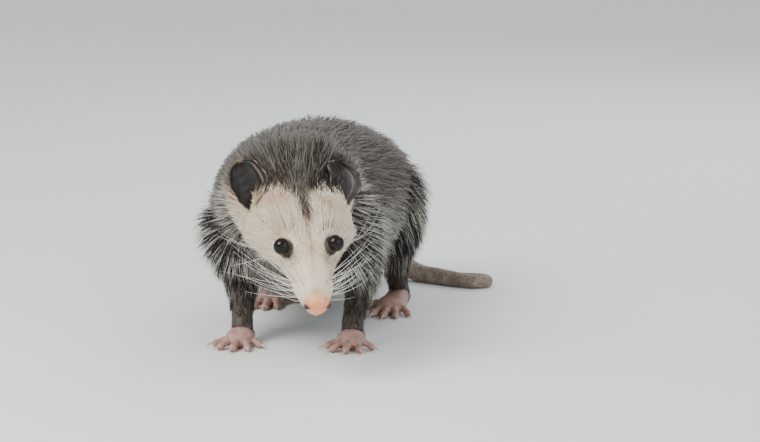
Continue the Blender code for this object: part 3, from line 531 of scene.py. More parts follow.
trunk, flesh, trunk_s, trunk_angle = trunk_form()
out = trunk_normal(np.maximum(trunk_s, 1.0), trunk_angle)
mouth_lift, mouth = lip_shape(trunk_s, trunk_angle)
flesh = flesh + out * (mouth_lift * (trunk_s < HEAD_LENGTH))[:, None]
flesh, nostril_shade = pressed_nose(flesh, out, trunk_s)
lids, orbit = np.zeros(len(flesh)), np.zeros(len(flesh))
for side in (1, -1):
    flesh, edge, round_eye = draped_eye(flesh, side)
    lids, orbit = np.maximum(lids, edge), np.maximum(orbit, round_eye)
trunk.data.vertices.foreach_set("co", to_world(flesh).ravel())
trunk.data.update()

# The source of every marking: each part of the flesh gives its vertices' places with what the coat
# needs to know there, and the joined skin takes them from the nearest one.

TRUNK, JAW, EAR, FORELEG, HINDLEG, FORE_FOOT, HIND_FOOT = range(7)
sources = []


def remember(points, part, s, angle, flow, depth, marks=(0.0, 0.0, 0.0)):
    """Keeps, for places in millimetres: which part, how far along it, the angle, the coat's depth, its
    lie and how much each place is lid or ear rim, painted shade in the nostrils or painted highlight on
    the ear's crease, and mouth."""
    count = len(points)
    columns = [np.broadcast_to(np.asarray(v, float), (count,)) for v in (part, s, angle, depth)]
    columns += [np.broadcast_to(flow, (count, 3)), *(np.broadcast_to(m, (count,)) for m in marks)]
    sources.append(np.column_stack([points, *columns]))


trunk_marks = (lids, nostril_shade, mouth * (trunk_s < HEAD_LENGTH))
depth = coat_depth(trunk_s, trunk_angle)
remember(flesh, TRUNK, trunk_s, trunk_angle, -spine_axes(trunk_s)[0], depth, trunk_marks)

# The lower jaw: a narrow bony trough tucked up under the upper lip, with short white fur.

JAW_ROWS = (
    (9.0, 3.2, 10.4),
    (12.5, 6.6, 13.2),
    (18.0, 8.6, 15.0),
    (28.0, 10.6, 17.4),
    (40.0, 13.4, 20.4),
    (52.0, 16.0, 23.6),
    (64.0, 18.5, 26.0),
    (76.0, 19.5, 25.0),
    (88.0, 17.0, 20.0),
)
JAW_ROOF = 5.0
JAW_SIDES = 40


def jaw_form():
    """The jaw's closed mesh."""
    forward, left, top = head_axes()
    rows = read_curve(np.array(JAW_ROWS), np.linspace(JAW_ROWS[0][0], JAW_ROWS[-1][0], 60))
    backs = np.linspace(JAW_ROWS[0][0], JAW_ROWS[-1][0], 60)
    turns = np.linspace(0, 2 * math.pi, JAW_SIDES, endpoint=False)
    rings = []
    for back, (half_width, bottom) in zip(backs, rows):
        middle = NOSE_TIP - back * forward - top * (JAW_ROOF + bottom) / 2
        half = (bottom - JAW_ROOF) / 2
        rings.append([middle + left * half_width * math.cos(t) + top * half * math.sin(t) for t in turns])
    rings = np.array(rings)
    ends = np.array([rings[0].mean(axis=0) + forward * 1.5, rings[-1].mean(axis=0) - forward * 2])
    points, faces = closed_tube(rings, ends)
    remember(points, JAW, -(points - NOSE_TIP) @ forward, math.radians(-80), -forward, 2.4)
    return mesh_piece("jaw", to_world(points), faces)


# The ears: thin naked cups of black skin, folded lengthwise at the root and ragged round the rim. The
# right one stands up and faces ahead, and the upper half of the left one is laid back.

EAR_HALF_WIDTH = 13.8
EAR_WALL = 1.0
EAR_BACK = 96.0
EAR_ANGLE = 32.0
EAR_CELLS = 48
# Across an ear: where its lengthwise fold stands, and where a pale line of painted highlight runs beside
# it.
EAR_FOLD, EAR_CREASE_SHEEN = -0.62, -0.66
# Length, how far it points up, outwards and back, the turn of its cup outwards in degrees, and how far
# its upper half is laid back in degrees.
EARS = {1: (35.0, 0.64, 0.24, 0.60, 22.0, 64.0), -1: (36.0, 0.74, 0.36, 0.52, 8.0, 14.0)}
# Places along an ear from its root and the share of its full width there.
EAR_SHAPE = ((0.0, 0.5), (0.15, 0.72), (0.35, 0.94), (0.55, 1.0), (0.75, 0.93), (0.9, 0.68), (1.0, 0.22))


def ear_axes(side):
    """Root, axis, width direction and facing of an ear."""
    forward, left, top = head_axes()
    out = left * side
    _, upwards, outwards, back, turn, _ = EARS[side]
    axis = unit(upwards * top + outwards * out - back * forward)
    face = (forward + 0.6 * top) * math.cos(math.radians(turn)) + out * math.sin(math.radians(turn))
    face = unit(face - axis * (face @ axis))
    angle = math.radians(EAR_ANGLE if side > 0 else 180 - EAR_ANGLE)
    root = trunk_surface(np.array([EAR_BACK]), np.array([angle]))[0]
    return root, axis, np.cross(face, axis), face


def ear_form(side):
    """One ear as a closed thin shell: a wide cup, ragged at the rim, creased inside, its top laid
    back."""
    root, axis, across, face = ear_axes(side)
    length, laid = EARS[side][0], math.radians(EARS[side][5])
    bpy.ops.mesh.primitive_grid_add(x_subdivisions=EAR_CELLS, y_subdivisions=EAR_CELLS, size=2.0)
    made = bpy.context.object
    made.name = "ear"
    co = np.array([v.co[:] for v in made.data.vertices])
    w, u = co[:, 0], (co[:, 1] + 1) / 2
    ragged = 0.026 * np.sin(21 * w + 1.3 * side) + 0.018 * np.sin(37 * w + side) + 0.012 * np.sin(63 * w)
    along = 1.1 * u * (1 + ragged * u**3) - 0.1
    steps = np.linspace(-0.1, 1.1, 121)
    bends = laid * np.clip((steps - 0.2) / 0.5, 0, 1)
    width = steps[1] - steps[0]
    ahead = np.interp(along, steps, np.cumsum(np.cos(bends)) * width - 0.1 - width)
    down = np.interp(along, steps, np.cumsum(np.sin(bends)) * width)
    bend = np.interp(along, steps, bends)[:, None]
    open_side = face * np.cos(bend) + axis * np.sin(bend)
    half = EAR_HALF_WIDTH * read_curve(np.array(EAR_SHAPE), u)[:, 0]
    half = half * (1 + 0.05 * np.sin(17 * u + 2 * side) * np.abs(w) ** 4)
    spread = np.radians(78.0 - 36.0 * u)
    sideways = half * np.sin(w * spread) / np.sin(spread)
    sunk = -half * (np.cos(w * spread) - np.cos(spread)) / np.sin(spread)
    creases = 0.5 * np.sin(u * 34) * np.exp(-(((w + 0.3 * side) / 0.3) ** 2)) * np.clip(1 - u, 0, 1)
    rolled = 1.8 * np.clip((np.abs(w) - 0.78) / 0.22, 0, 1) ** 2 * np.clip(u * 3, 0, 1)
    fold = 1.6 * np.exp(-(((w - EAR_FOLD) / 0.1) ** 2)) * np.clip(u * 2, 0, 1)
    fold = fold * np.clip((1 - u) * 4, 0, 1)
    points = root + axis * (length * ahead)[:, None] - face * (length * down)[:, None]
    points = points + across * sideways[:, None] + open_side * (sunk + creases + rolled + fold)[:, None]
    made.data.vertices.foreach_set("co", to_world(points).ravel())
    wall = made.modifiers.new("wall", "SOLIDIFY")
    wall.thickness = EAR_WALL * MM
    wall.offset = 0.0
    bpy.ops.object.modifier_apply(modifier="wall")
    rim = np.maximum(np.abs(w) ** 6, np.clip((u - 0.8) / 0.2, 0, 1) ** 2)
    # A pale line beside the fold: a painted highlight along the crease.
    pale = np.exp(-(((w - EAR_CREASE_SHEEN) / 0.05) ** 2)) * np.clip(u * 2, 0, 1)
    remember(points, EAR, u, w, axis, 0.0, (rim, pale, float(side > 0)))
    made.select_set(False)
    return made


# The legs: short limbs with the elbow and knee held low, furred black-brown down to the wrist and ankle.

# Left side: x, y, z, half width, half depth fore and aft, coat.
FORELIMB = (
    (33.0, -86.0, 104.0, 15.0, 20.0, 22.0),
    (40.0, -82.0, 92.0, 20.0, 27.0, 21.0),
    (46.0, -73.0, 74.0, 17.0, 23.0, 17.0),
    (49.0, -64.0, 57.0, 12.5, 16.0, 12.0),
    (49.0, -66.0, 43.0, 10.0, 12.0, 7.0),
    (48.0, -75.0, 30.0, 8.4, 9.0, 4.0),
    (47.0, -84.0, 18.0, 8.0, 7.4, 2.0),
    (47.0, -88.0, 11.5, 8.6, 7.4, 1.0),
)
HINDLIMB = (
    (30.0, 92.0, 104.0, 17.0, 22.0, 22.0),
    (39.0, 84.0, 92.0, 23.0, 32.0, 21.0),
    (48.0, 68.0, 74.0, 21.0, 28.0, 18.0),
    (54.0, 56.0, 57.0, 15.0, 15.5, 12.0),
    (54.0, 58.0, 43.0, 11.0, 11.5, 7.0),
    (52.0, 70.0, 30.0, 8.6, 9.6, 4.0),
    (50.0, 84.0, 18.0, 8.0, 8.2, 2.0),
    (50.0, 86.0, 11.5, 8.4, 8.2, 1.0),
)
# How far each foot is set to the animal's left and forwards.
STEP = {(0, 1): (5.0, 4.0), (0, -1): (13.0, 14.0), (1, 1): (4.0, 10.0), (1, -1): (0.0, -4.0)}
LIMB_SIDES = 36


def limb_keys(hind, side):
    """A limb's sections with the length along it in front, mirrored for the right side and set in its
    step."""
    rows = np.array(HINDLIMB if hind else FORELIMB)
    share = (rows[0, 2] - rows[:, 2]) / (rows[0, 2] - rows[-1, 2])
    rows[:, 0] = rows[:, 0] * side + STEP[hind, side][0] * share
    rows[:, 1] -= STEP[hind, side][1] * share
    along = np.concatenate([[0.0], np.cumsum(np.linalg.norm(np.diff(rows[:, :3], axis=0), axis=1))])
    return np.column_stack([along, rows])


def limb_form(hind, side):
    """One leg's flesh down to the top of its foot."""
    keys = limb_keys(hind, side)
    s = np.linspace(0, keys[-1, 0], 44)
    row = read_curve(keys, s)
    way = unit(np.gradient(row[:, :3], axis=0))
    across = unit(np.array([1.0, 0.0, 0.0]) - way * way[:, :1])
    other = np.cross(way, across)
    turns = np.linspace(0, 2 * math.pi, LIMB_SIDES, endpoint=False)
    wide, deep = row[:, 3, None, None], row[:, 4, None, None]
    rings = row[:, None, :3] + across[:, None] * wide * np.cos(turns)[:, None]
    rings = rings + other[:, None] * deep * np.sin(turns)[:, None]
    ends = np.array([rings[0].mean(axis=0) - way[0], rings[-1].mean(axis=0) + way[-1]])
    points, faces = closed_tube(rings, ends)
    count = len(turns)
    flow = np.vstack([np.repeat(way, count, axis=0), way[:1], way[-1:]])
    depth = np.append(np.repeat(row[:, 5], count), [0.0, 1.0])
    reach = np.append(np.repeat(s / keys[-1, 0], count), [0.0, 1.0])
    flow = flow + np.array([0.0, 0.9, 0.0]) * np.clip(1 - 1.8 * reach, 0, 1)[:, None]
    every_turn = np.append(np.tile(turns, len(s)), [0.0, 0.0])
    remember(points, HINDLEG if hind else FORELEG, reach, every_turn, flow, depth)
    return mesh_piece("leg", to_world(points), faces), keys[-1, 1:4]


# The feet: naked hands and soles, flat on the floor. Five spread toes in front; behind, four and a
# thumb that points inwards and bears no claw.

FORE_TOES = (
    (-7.5, 4.0, -52.0, 14.0, 3.0),
    (-5.0, 10.0, -20.0, 18.0, 3.2),
    (0.0, 12.0, 2.0, 19.0, 3.3),
    (5.0, 10.0, 24.0, 18.0, 3.2),
    (8.0, 4.0, 52.0, 15.0, 3.0),
)
HIND_TOES = (
    (-8.0, 18.0, -84.0, 17.0, 4.0),
    (-6.0, 33.0, -14.0, 20.0, 3.3),
    (-1.5, 37.0, 1.0, 21.0, 3.4),
    (3.5, 36.0, 16.0, 20.0, 3.3),
    (8.0, 31.0, 34.0, 17.0, 3.1),
)
FORE_SOLE = (
    (-10.0, 3.5, 3.0),
    (-7.0, 7.5, 6.6),
    (1.0, 10.2, 8.2),
    (9.0, 11.0, 7.2),
    (15.0, 7.5, 4.6),
)
HIND_SOLE = (
    (-10.0, 3.5, 3.0),
    (-7.0, 7.0, 7.0),
    (3.0, 8.8, 8.6),
    (18.0, 10.4, 7.8),
    (32.0, 12.0, 7.0),
    (40.0, 8.5, 4.6),
)
# Places along a toe as shares of its length, and how thick it is and how high its middle there.
TOE_PLACES = (-0.12, 0.25, 0.42, 0.6, 0.8, 0.93, 1.0)
TOE_THICKNESS = (1.0, 0.88, 0.96, 0.8, 0.98, 0.9, 0.5)
TOE_RISE = ((-0.12, 0.4, 0.9, 1.0), (5.0, 5.0, 2.6, 2.4))
SOLE_PRESS = 0.8
CLAW_LENGTH = 6.5
FOOT_VOXEL = 0.75


def tube(name, centres, widths, depths, sides, hint):
    """A closed oval tube along a path in millimetres, its widths measured across hint."""
    centres = np.asarray(centres, float)
    way = unit(np.gradient(centres, axis=0))
    side = unit(hint - way * (way @ hint)[:, None])
    other = np.cross(way, side)
    turns = np.linspace(0, 2 * math.pi, sides, endpoint=False)
    rings = centres[:, None] + side[:, None] * (np.asarray(widths)[:, None, None] * np.cos(turns)[:, None])
    rings = rings + other[:, None] * (np.asarray(depths)[:, None, None] * np.sin(turns)[:, None])
    ends = np.array([centres[0] - way[0] * widths[0] * 0.3, centres[-1] + way[-1] * widths[-1] * 0.6])
    points, faces = closed_tube(rings, ends)
    return mesh_piece(name, to_world(points), faces)


def toe_path(where, side, row):
    """Root of a toe on the floor, the way it points and its own left."""
    across, ahead, turn, _, _ = row
    turn = math.radians(turn)
    way = np.array([side * math.sin(turn), -math.cos(turn), 0.0])
    return np.array([where[0] + side * across, where[1] - ahead, 0.0]), way, np.cross(way, [0.0, 0.0, 1.0])


def join(pieces, name):
    """All the pieces as one object, still apart inside it."""
    bpy.ops.object.select_all(action="DESELECT")
    for piece in pieces:
        piece.select_set(True)
    bpy.context.view_layer.objects.active = pieces[0]
    bpy.ops.object.join()
    made = bpy.context.object
    made.name = made.data.name = name
    made.select_set(False)
    return made


def foot_form(hind, side, where):
    """One foot: its sole and toes melted into one body that is flat underneath."""
    sole = np.array(HIND_SOLE if hind else FORE_SOLE)
    reach = np.linspace(sole[0, 0], sole[-1, 0], 20)
    wide, high = read_curve(sole, reach).T
    centres = np.column_stack([np.full(20, where[0]), where[1] - reach, high - SOLE_PRESS])
    pieces = [tube("sole", centres, wide, high, 28, np.array([1.0, 0.0, 0.0]))]
    for row in HIND_TOES if hind else FORE_TOES:
        root, way, hint = toe_path(where, side, row)
        t = np.linspace(-0.12, 1.0, 14)
        thick = row[4] * np.interp(t, TOE_PLACES, TOE_THICKNESS)
        centre = root + way * (t * row[3])[:, None]
        centre[:, 2] = np.maximum(np.interp(t, *TOE_RISE), thick - SOLE_PRESS / 2)
        pieces.append(tube("toe", centre, thick, thick, 14, hint))
    foot = join(pieces, "foot")
    bpy.context.view_layer.objects.active = foot
    melt = foot.modifiers.new("melt", "REMESH")
    melt.mode = "VOXEL"
    melt.voxel_size = FOOT_VOXEL * MM
    bpy.ops.object.modifier_apply(modifier="melt")
    calm = foot.modifiers.new("calm", "SMOOTH")
    calm.iterations = 3
    bpy.ops.object.modifier_apply(modifier="calm")
    co = np.array([v.co[:] for v in foot.data.vertices])
    co[:, 2] = np.maximum(co[:, 2], 0.0)
    foot.data.vertices.foreach_set("co", co.ravel())
    points = co / MM - PLACE
    ahead = (where[1] - points[:, 1]) / sole[-1, 0]
    depth = 1.3 * np.clip(1.1 - ahead * 1.6, 0, 1) * (points[:, 2] > 4.0)
    remember(points, HIND_FOOT if hind else FORE_FOOT, ahead, points[:, 2], [0.0, -1.0, -0.2], depth)
    return foot


# One skin: the trunk, jaw, ears, legs and feet grow together, so that no seam shows anywhere on the
# animal.

limbs = []
for hind in (0, 1):
    for side in (1, -1):
        leg, where = limb_form(hind, side)
        limbs += [leg, foot_form(hind, side, where)]
grown = bpy.data.collections.new("grown")
bpy.context.scene.collection.children.link(grown)
for piece in [jaw_form(), ear_form(1), ear_form(-1), *limbs]:
    for home in list(piece.users_collection):
        home.objects.unlink(piece)
    grown.objects.link(piece)

skin = trunk
skin.name = skin.data.name = "skin"
bpy.ops.object.select_all(action="DESELECT")
bpy.context.view_layer.objects.active = skin
fuse = skin.modifiers.new("fuse", "BOOLEAN")
fuse.operation = "UNION"
fuse.operand_type = "COLLECTION"
fuse.collection = grown
fuse.solver = "MANIFOLD"
bpy.ops.object.modifier_apply(modifier="fuse")
for piece in list(grown.objects):
    bpy.data.objects.remove(piece)
bpy.data.collections.remove(grown)
bpy.context.view_layer.objects.active = skin
skin.data.shade_smooth()

# What every root of the coat and every patch of skin needs to know is carried over from the nearest
# source.

table = np.vstack(sources)
finder = KDTree(len(table))
for i, row in enumerate(table):
    finder.insert(row[:3], i)
finder.balance()
skin_points = np.empty(len(skin.data.vertices) * 3)
skin.data.vertices.foreach_get("co", skin_points)
skin_points = skin_points.reshape(-1, 3) / MM - PLACE
known = table[[finder.find(p)[1] for p in skin_points]]
skin_part, skin_s, skin_depth, skin_flow = known[:, 3], known[:, 4], known[:, 6], known[:, 7:10]
skin_edge, skin_nostril_shade_and_ear_sheen, skin_mouth = known[:, 10], known[:, 11], known[:, 12]


def trunk_angles(points, s):
    """Angles round the spine, from the animal's left and upwards positive, of places near the trunk."""
    _, left, up = spine_axes(s)
    q = points - read_curve(SPINE, s)[:, :3]
    return np.arctan2((q * up).sum(axis=1), (q * left).sum(axis=1))


on_trunk = skin_part == TRUNK
skin_angle = np.where(on_trunk, trunk_angles(skin_points, skin_s * on_trunk), known[:, 5])


def smooth(value, low, high):
    """A soft step from 0 at low to 1 at high."""
    t = np.clip((value - low) / (high - low), 0, 1)
    return t * t * (3 - 2 * t)


# Markings: white face with a dark stripe down the crown to a brown point between the eyes and a tan
# line below it, tan at the roots of the ears and round the eyes, grizzled body, black-brown legs.

# The stripe: distance behind the nose, middle and half width in degrees, where the hair is rooted.
STRIPE = ((53.0, 86.0, 2.0), (58.0, 86.0, 5.5), (65.0, 87.0, 8.5), (72.0, 88.0, 10.5), (79.0, 90.5, 14.0),
          (85.0, 94.0, 19.0), (91.0, 95.0, 27.0), (98.0, 93.0, 42.0), (105.0, 90.0, 90.0))
# Tan tinges: distance behind the nose, degrees, spread along, spread round in degrees, strength.
TINGES = (
    (80.0, 134.0, 8.0, 13.0, 0.8),
    (79.0, 48.0, 8.0, 12.0, 0.8),
    (58.0, 145.0, 4.0, 10.0, 0.75),
    (54.0, 31.0, 4.0, 12.0, 0.95),
    (38.0, 42.0, 3.5, 10.0, 0.75),
    (39.0, 134.0, 3.5, 10.0, 0.6),
    (98.0, 165.0, 8.0, 16.0, 0.6),
    (86.0, 116.0, 12.0, 5.0, 0.6),
    (86.0, 72.0, 12.0, 5.0, 0.6),
    (26.0, 90.0, 14.0, 14.0, 0.25),
    (9.0, 90.0, 5.0, 50.0, 0.7),
)


def markings(part, s, angle):
    """White, dark and tan shares of the coat at places on each part."""
    degrees = np.degrees(np.mod(angle + math.pi / 2, 2 * math.pi)) - 90.0
    trunk_here = part == TRUNK
    side = np.cos(angle) ** 2
    white = 1.0 - smooth(s, 92 + 12 * side, 104 + 14 * side)
    white = np.where(trunk_here, white, part == JAW)
    stripe = np.array(STRIPE)
    middle = np.interp(s, stripe[:, 0], stripe[:, 1])
    half = np.interp(s, stripe[:, 0], stripe[:, 2], 0.5)
    away = np.abs(degrees - middle) / half
    crown = smooth(s, 53, 62) * (1 - smooth(away, 0.75, 1.35)) * trunk_here
    white = white * (1 - crown)
    line = (1 - smooth(np.abs(degrees - 85.0), 2.0, 7.0)) * smooth(s, 30, 42) * (1 - smooth(s, 58, 66))
    tan = 0.8 * line + 0.7 * crown * (1 - smooth(s, 60, 84))
    for back, place, spread, turn, strength in TINGES:
        tan = tan + strength * np.exp(-(((s - back) / spread) ** 2) - ((degrees - place) / turn) ** 2)
    tan = np.clip(tan, 0, 1) * trunk_here
    dark = crown * 0.96 * smooth(s, 55, 64)
    leg = (part == FORELEG) | (part == HINDLEG) | (part == FORE_FOOT) | (part == HIND_FOOT)
    leg_dark = np.where((part == FORELEG) | (part == HINDLEG), smooth(s, 0.4, 0.8), 1.0)
    chest = smooth(-np.sin(angle), 0.1, 0.7) * smooth(s, 100, 124) * trunk_here * (s < RUMP_END)
    dark = np.where(leg, leg_dark, dark + 0.5 * chest)
    dark = np.where((part == TRUNK) & (s > 448), 0.8 * (1 - smooth(s, 462, 486)), dark)
    return white, dark, tan


def carry(mesh, name, values):
    """Stores one number for each vertex of a mesh under a name."""
    numbers = np.ascontiguousarray(values, np.float32)
    mesh.attributes.new(name, "FLOAT", "POINT").data.foreach_set("value", numbers)


def pelage_group():
    """The colours of the hair: white-based underfur with dark tips, pale guard hair whose roots are
    darkened to near-black as painted shade deep in the coat, and white, dark and tan fur."""
    tree = bpy.data.node_groups.new("Pelage", "ShaderNodeTree")
    for name in ("Along", "Tone", "Guard", "White", "Dark", "Tan"):
        tree.interface.new_socket(name, in_out="INPUT", socket_type="NodeSocketFloat")
    tree.interface.new_socket("Colour", in_out="OUTPUT", socket_type="NodeSocketColor")
    given = tree.nodes.new("NodeGroupInput").outputs
    under_tip = ramp(tree, given["Along"], 0.12, 0.45)
    under = mix(tree, under_tip, (0.20, 0.18, 0.15, 1.0), (0.012, 0.011, 0.010, 1.0))
    guard_tone = mix(tree, given["Tone"], (0.30, 0.28, 0.235, 1.0), (0.84, 0.81, 0.72, 1.0))
    # Painted shade: guard hair runs from near-black at the root to its pale tone, standing in for the
    # shade deep in the coat.
    guard = mix(tree, ramp(tree, given["Along"], 0.15, 0.6), (0.05, 0.045, 0.038, 1.0), guard_tone)
    body = mix(tree, given["Guard"], under, guard)
    pale = mix(tree, given["Tone"], (0.80, 0.66, 0.46, 1.0), (0.94, 0.88, 0.74, 1.0))
    pale = mix(tree, ramp(tree, given["Along"], 0.0, 0.5), (0.66, 0.55, 0.40, 1.0), pale)
    both = mix(tree, given["White"], body, pale)
    tan = mix(tree, given["Tone"], (0.36, 0.17, 0.06, 1.0), (0.66, 0.38, 0.18, 1.0))
    both = mix(tree, given["Tan"], both, tan)
    black = mix(tree, given["Tone"], (0.012, 0.009, 0.008, 1.0), (0.085, 0.060, 0.045, 1.0))
    both = mix(tree, given["Dark"], both, black)
    tree.links.new(both, tree.nodes.new("NodeGroupOutput").inputs[0])
    return tree


PELAGE = pelage_group()


def pelage(tree, **values):
    """The shared colours of the hair, read from a piece's own values or given."""
    made = tree.nodes.new("ShaderNodeGroup")
    made.node_tree = PELAGE
    for socket in made.inputs:
        value = values.get(socket.name, socket.name.lower())
        if isinstance(value, str):
            value = read(tree, value)
        plug(tree, socket, value)
    return made.outputs[0]


def skin_material():
    """Skin: hidden and hair-coloured under the coat, darkened there towards near-black as painted shade
    between the hairs, pink pores on the nose with painted shade in the nostrils, black leather ears
    with a ragged tan rim and a pale painted highlight along the crease, creased pinkish-grey feet and
    rings of small scales on the tail."""
    made, tree, shader = finish("skin", 0.6, Subsurface_Weight=0.0)
    place = node(tree, "ShaderNodeTexCoord").outputs["Object"]
    hair = noise(tree, place, 900.0, 3.0)
    patch = noise(tree, place, 140.0, 4.0)
    wide = ramp(tree, patch, 0.35, 0.68)
    under = pelage(tree, Along=0.35, Tone=hair, Guard=0.15)
    # Painted shade: under the coat the skin is pulled more than half way to near-black, standing in for
    # the shade between the hairs.
    under_coat_painted_shade = mix(tree, 0.55, under, (0.05, 0.038, 0.03, 1.0))
    furred = mix(tree, read(tree, "white"), under_coat_painted_shade, mix(tree, 0.25, under, (0.45, 0.26, 0.18, 1.0)))
    pores = node(tree, "ShaderNodeTexVoronoi", {"Vector": place, "Scale": 1500.0}).outputs["Distance"]
    pink = mix(tree, wide, (0.80, 0.29, 0.12, 1.0), (0.90, 0.43, 0.23, 1.0))
    # Painted shade: the nostril pits are coloured near-black.
    pink = mix(tree, read(tree, "pit"), pink, (0.035, 0.010, 0.007, 1.0))
    colour = mix(tree, read(tree, "nose"), furred, pink)
    colour = mix(tree, read(tree, "lid"), colour, (0.020, 0.011, 0.008, 1.0))
    colour = mix(tree, read(tree, "mouth"), colour, (0.06, 0.022, 0.016, 1.0))
    leather = mix(tree, wide, (0.008, 0.007, 0.007, 1.0), (0.030, 0.024, 0.021, 1.0))
    ragged = sums(tree, "ADD", read(tree, "rim"), sums(tree, "MULTIPLY", patch, 1.3))
    leather = mix(tree, ramp(tree, ragged, 1.6, 1.85), leather, (0.26, 0.17, 0.11, 1.0))
    # Painted highlight: a pale line along the ear's crease.
    leather = mix(tree, read(tree, "fold"), leather, (0.16, 0.14, 0.11, 1.0))
    colour = mix(tree, read(tree, "ear"), colour, leather)
    sole = mix(tree, wide, (0.30, 0.17, 0.14, 1.0), (0.46, 0.28, 0.23, 1.0))
    colour = mix(tree, read(tree, "foot"), colour, sole)
    scales = node(tree, "ShaderNodeTexVoronoi", {"Vector": place, "Scale": 620.0}).outputs["Distance"]
    scaly = mix(tree, wide, (0.21, 0.16, 0.12, 1.0), (0.42, 0.34, 0.27, 1.0))
    scaly = mix(tree, scales, scaly, (0.12, 0.085, 0.065, 1.0))
    scaly = mix(tree, read(tree, "base"), scaly, (0.03, 0.025, 0.022, 1.0))
    colour = mix(tree, read(tree, "tail"), colour, scaly)
    tree.links.new(colour, shader.inputs["Base Color"])
    bare = sums(tree, "ADD", read(tree, "tail"), read(tree, "foot"), True)
    relief_height = mix(tree, read(tree, "nose"), hair, pores)
    relief_height = mix(tree, bare, relief_height, scales)
    bump = node(tree, "ShaderNodeBump", {"Height": relief_height, "Strength": 0.35, "Distance": 0.0006})
    tree.links.new(bump.outputs[0], shader.inputs["Normal"])
    moist = ramp(tree, read(tree, "nose"), 0.0, 1.0, 0.62, 0.34)
    tree.links.new(moist, shader.inputs["Roughness"])
    return made


white, dark, tan = markings(skin_part, skin_s, skin_angle)
on_feet = (skin_part == FORE_FOOT) | (skin_part == HIND_FOOT)
bare_nose = on_trunk * (1 - smooth(skin_s, 6.2, 8.6))
on_ears = skin_part == EAR
skin_marks = {
    "white": white,
    "dark": dark,
    "tan": tan,
    "nose": bare_nose,
    "ear": on_ears,
    "foot": on_feet * smooth(skin_s, -0.4, 0.3),
    "tail": on_trunk * smooth(skin_s, 436, 452),
    "base": 1 - smooth(skin_s, 462, 500),
    "lid": skin_edge * on_trunk,
    "rim": skin_edge * on_ears,
    # pit: painted shade in the nostrils.
    "pit": skin_nostril_shade_and_ear_sheen * on_trunk,
    # fold: a painted highlight along the ear's crease.
    "fold": skin_nostril_shade_and_ear_sheen * on_ears,
    "mouth": np.clip(skin_mouth, 0, 1) * on_trunk,
}
for name, values in skin_marks.items():
    carry(skin.data, name, values)
skin.data.materials.clear()
skin.data.materials.append(skin_material())
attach(skin, "root")
flesh_nodes = ["nose", "head", "lower_jaw", "ear_left", "ear_right", "neck", "torso"]
flesh_nodes += [f"{kind}leg_{half}_{side}" for kind in ("fore", "hind") for half in ("upper", "lower")
                for side in ("left", "right")]
flesh_nodes += ["forefoot_left", "forefoot_right", "hindfoot_left", "hindfoot_right"]
flesh_nodes += ["tail_root", "tail_upper", "tail_middle", "tail_lower", "tail_tip"]
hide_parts(*flesh_nodes)

# The coat: soft underfur with black tips and over it long white guard hair, in thousands of tapered
# tufts. Each is rooted in the skin, rises and then lies back, and its tip leans to those of its
# neighbours.

STRAND_SIDES = 3
PATCH = 0.003
seeds = np.random.default_rng(11)

skin.data.calc_loop_triangles()
corners = np.empty(len(skin.data.loop_triangles) * 3, np.int32)
skin.data.loop_triangles.foreach_get("vertices", corners)
corners = corners.reshape(-1, 3)
edge_a = skin_points[corners[:, 1]] - skin_points[corners[:, 0]]
edge_b = skin_points[corners[:, 2]] - skin_points[corners[:, 0]]
facet = np.cross(edge_a, edge_b)
areas = np.linalg.norm(facet, axis=1) / 2
facet = unit(facet)
vertex_normals = np.empty(len(skin.data.vertices) * 3)
skin.data.vertices.foreach_get("normal", vertex_normals)
vertex_normals = vertex_normals.reshape(-1, 3)
facet_part = skin_part[corners]
facet_s = skin_s[corners].mean(axis=1)
facet_mid = skin_points[corners].mean(axis=1)
ear_faces = corners[(facet_part == EAR).all(axis=1)]
ear_tree = BVHTree.FromPolygons(skin_points.tolist(), ear_faces.tolist())

HEAD_LEFT = head_axes()[1]

DOWN = np.array([0.0, 0.0, -1.0])

# Places along the trunk with the lift of the hair off the skin in degrees and its greatest length.
LIE = np.array((
    (0.0, 10.0, 4.0),
    (12.0, 13.0, 6.0),
    (30.0, 15.0, 9.0),
    (50.0, 18.0, 12.0),
    (64.0, 22.0, 17.0),
    (80.0, 30.0, 30.0),
    (95.0, 37.0, 42.0),
    (118.0, 42.0, 52.0),
    (160.0, 41.0, 60.0),
    (230.0, 38.0, 64.0),
    (400.0, 36.0, 60.0),
    (440.0, 22.0, 30.0),
    (470.0, 14.0, 12.0),
    (700.0, 12.0, 4.0),
))
# How much the hair falls down the sides at places along the trunk.
FALL = ((0, 40, 80, 120, 200, 420, 450), (0.1, 0.25, 0.45, 0.3, 0.38, 0.3, 0.0))
# Which places along the trunk the hair of the jaw, of the feet and, down its length, of a leg is like.
JAW_LIKE, FOOT_LIKE = 30.0, 50.0
LEG_LIKE = ((0.0, 0.45, 0.7, 1.0), (88.0, 78.0, 60.0, 40.0))


def pick_roots(where, count):
    """Random roots on the facets of the skin that where allows, as many on each as its area asks for."""
    share = areas * where
    chosen = seeds.choice(len(share), count, p=share / share.sum())
    a, b = seeds.random(count), seeds.random(count)
    over = a + b > 1
    a, b = np.where(over, 1 - a, a), np.where(over, 1 - b, b)
    weights = np.stack([1 - a - b, a, b], axis=1)
    trio = corners[chosen]
    point = (skin_points[trio] * weights[:, :, None]).sum(axis=1)
    normal = unit((vertex_normals[trio] * weights[:, :, None]).sum(axis=1))
    first = trio[np.arange(count), weights.argmax(axis=1)]
    part = skin_part[first]
    same = (skin_part[trio] == part[:, None]).all(axis=1)
    s = np.where(same, (skin_s[trio] * weights).sum(axis=1), skin_s[first])
    depth = np.where(same, (skin_depth[trio] * weights).sum(axis=1), skin_depth[first])
    bad = np.maximum(np.maximum(skin_edge[first], skin_mouth[first] * 0.8), skin_nostril_shade_and_ear_sheen[first])
    return point, normal, first, part, s, depth, bad


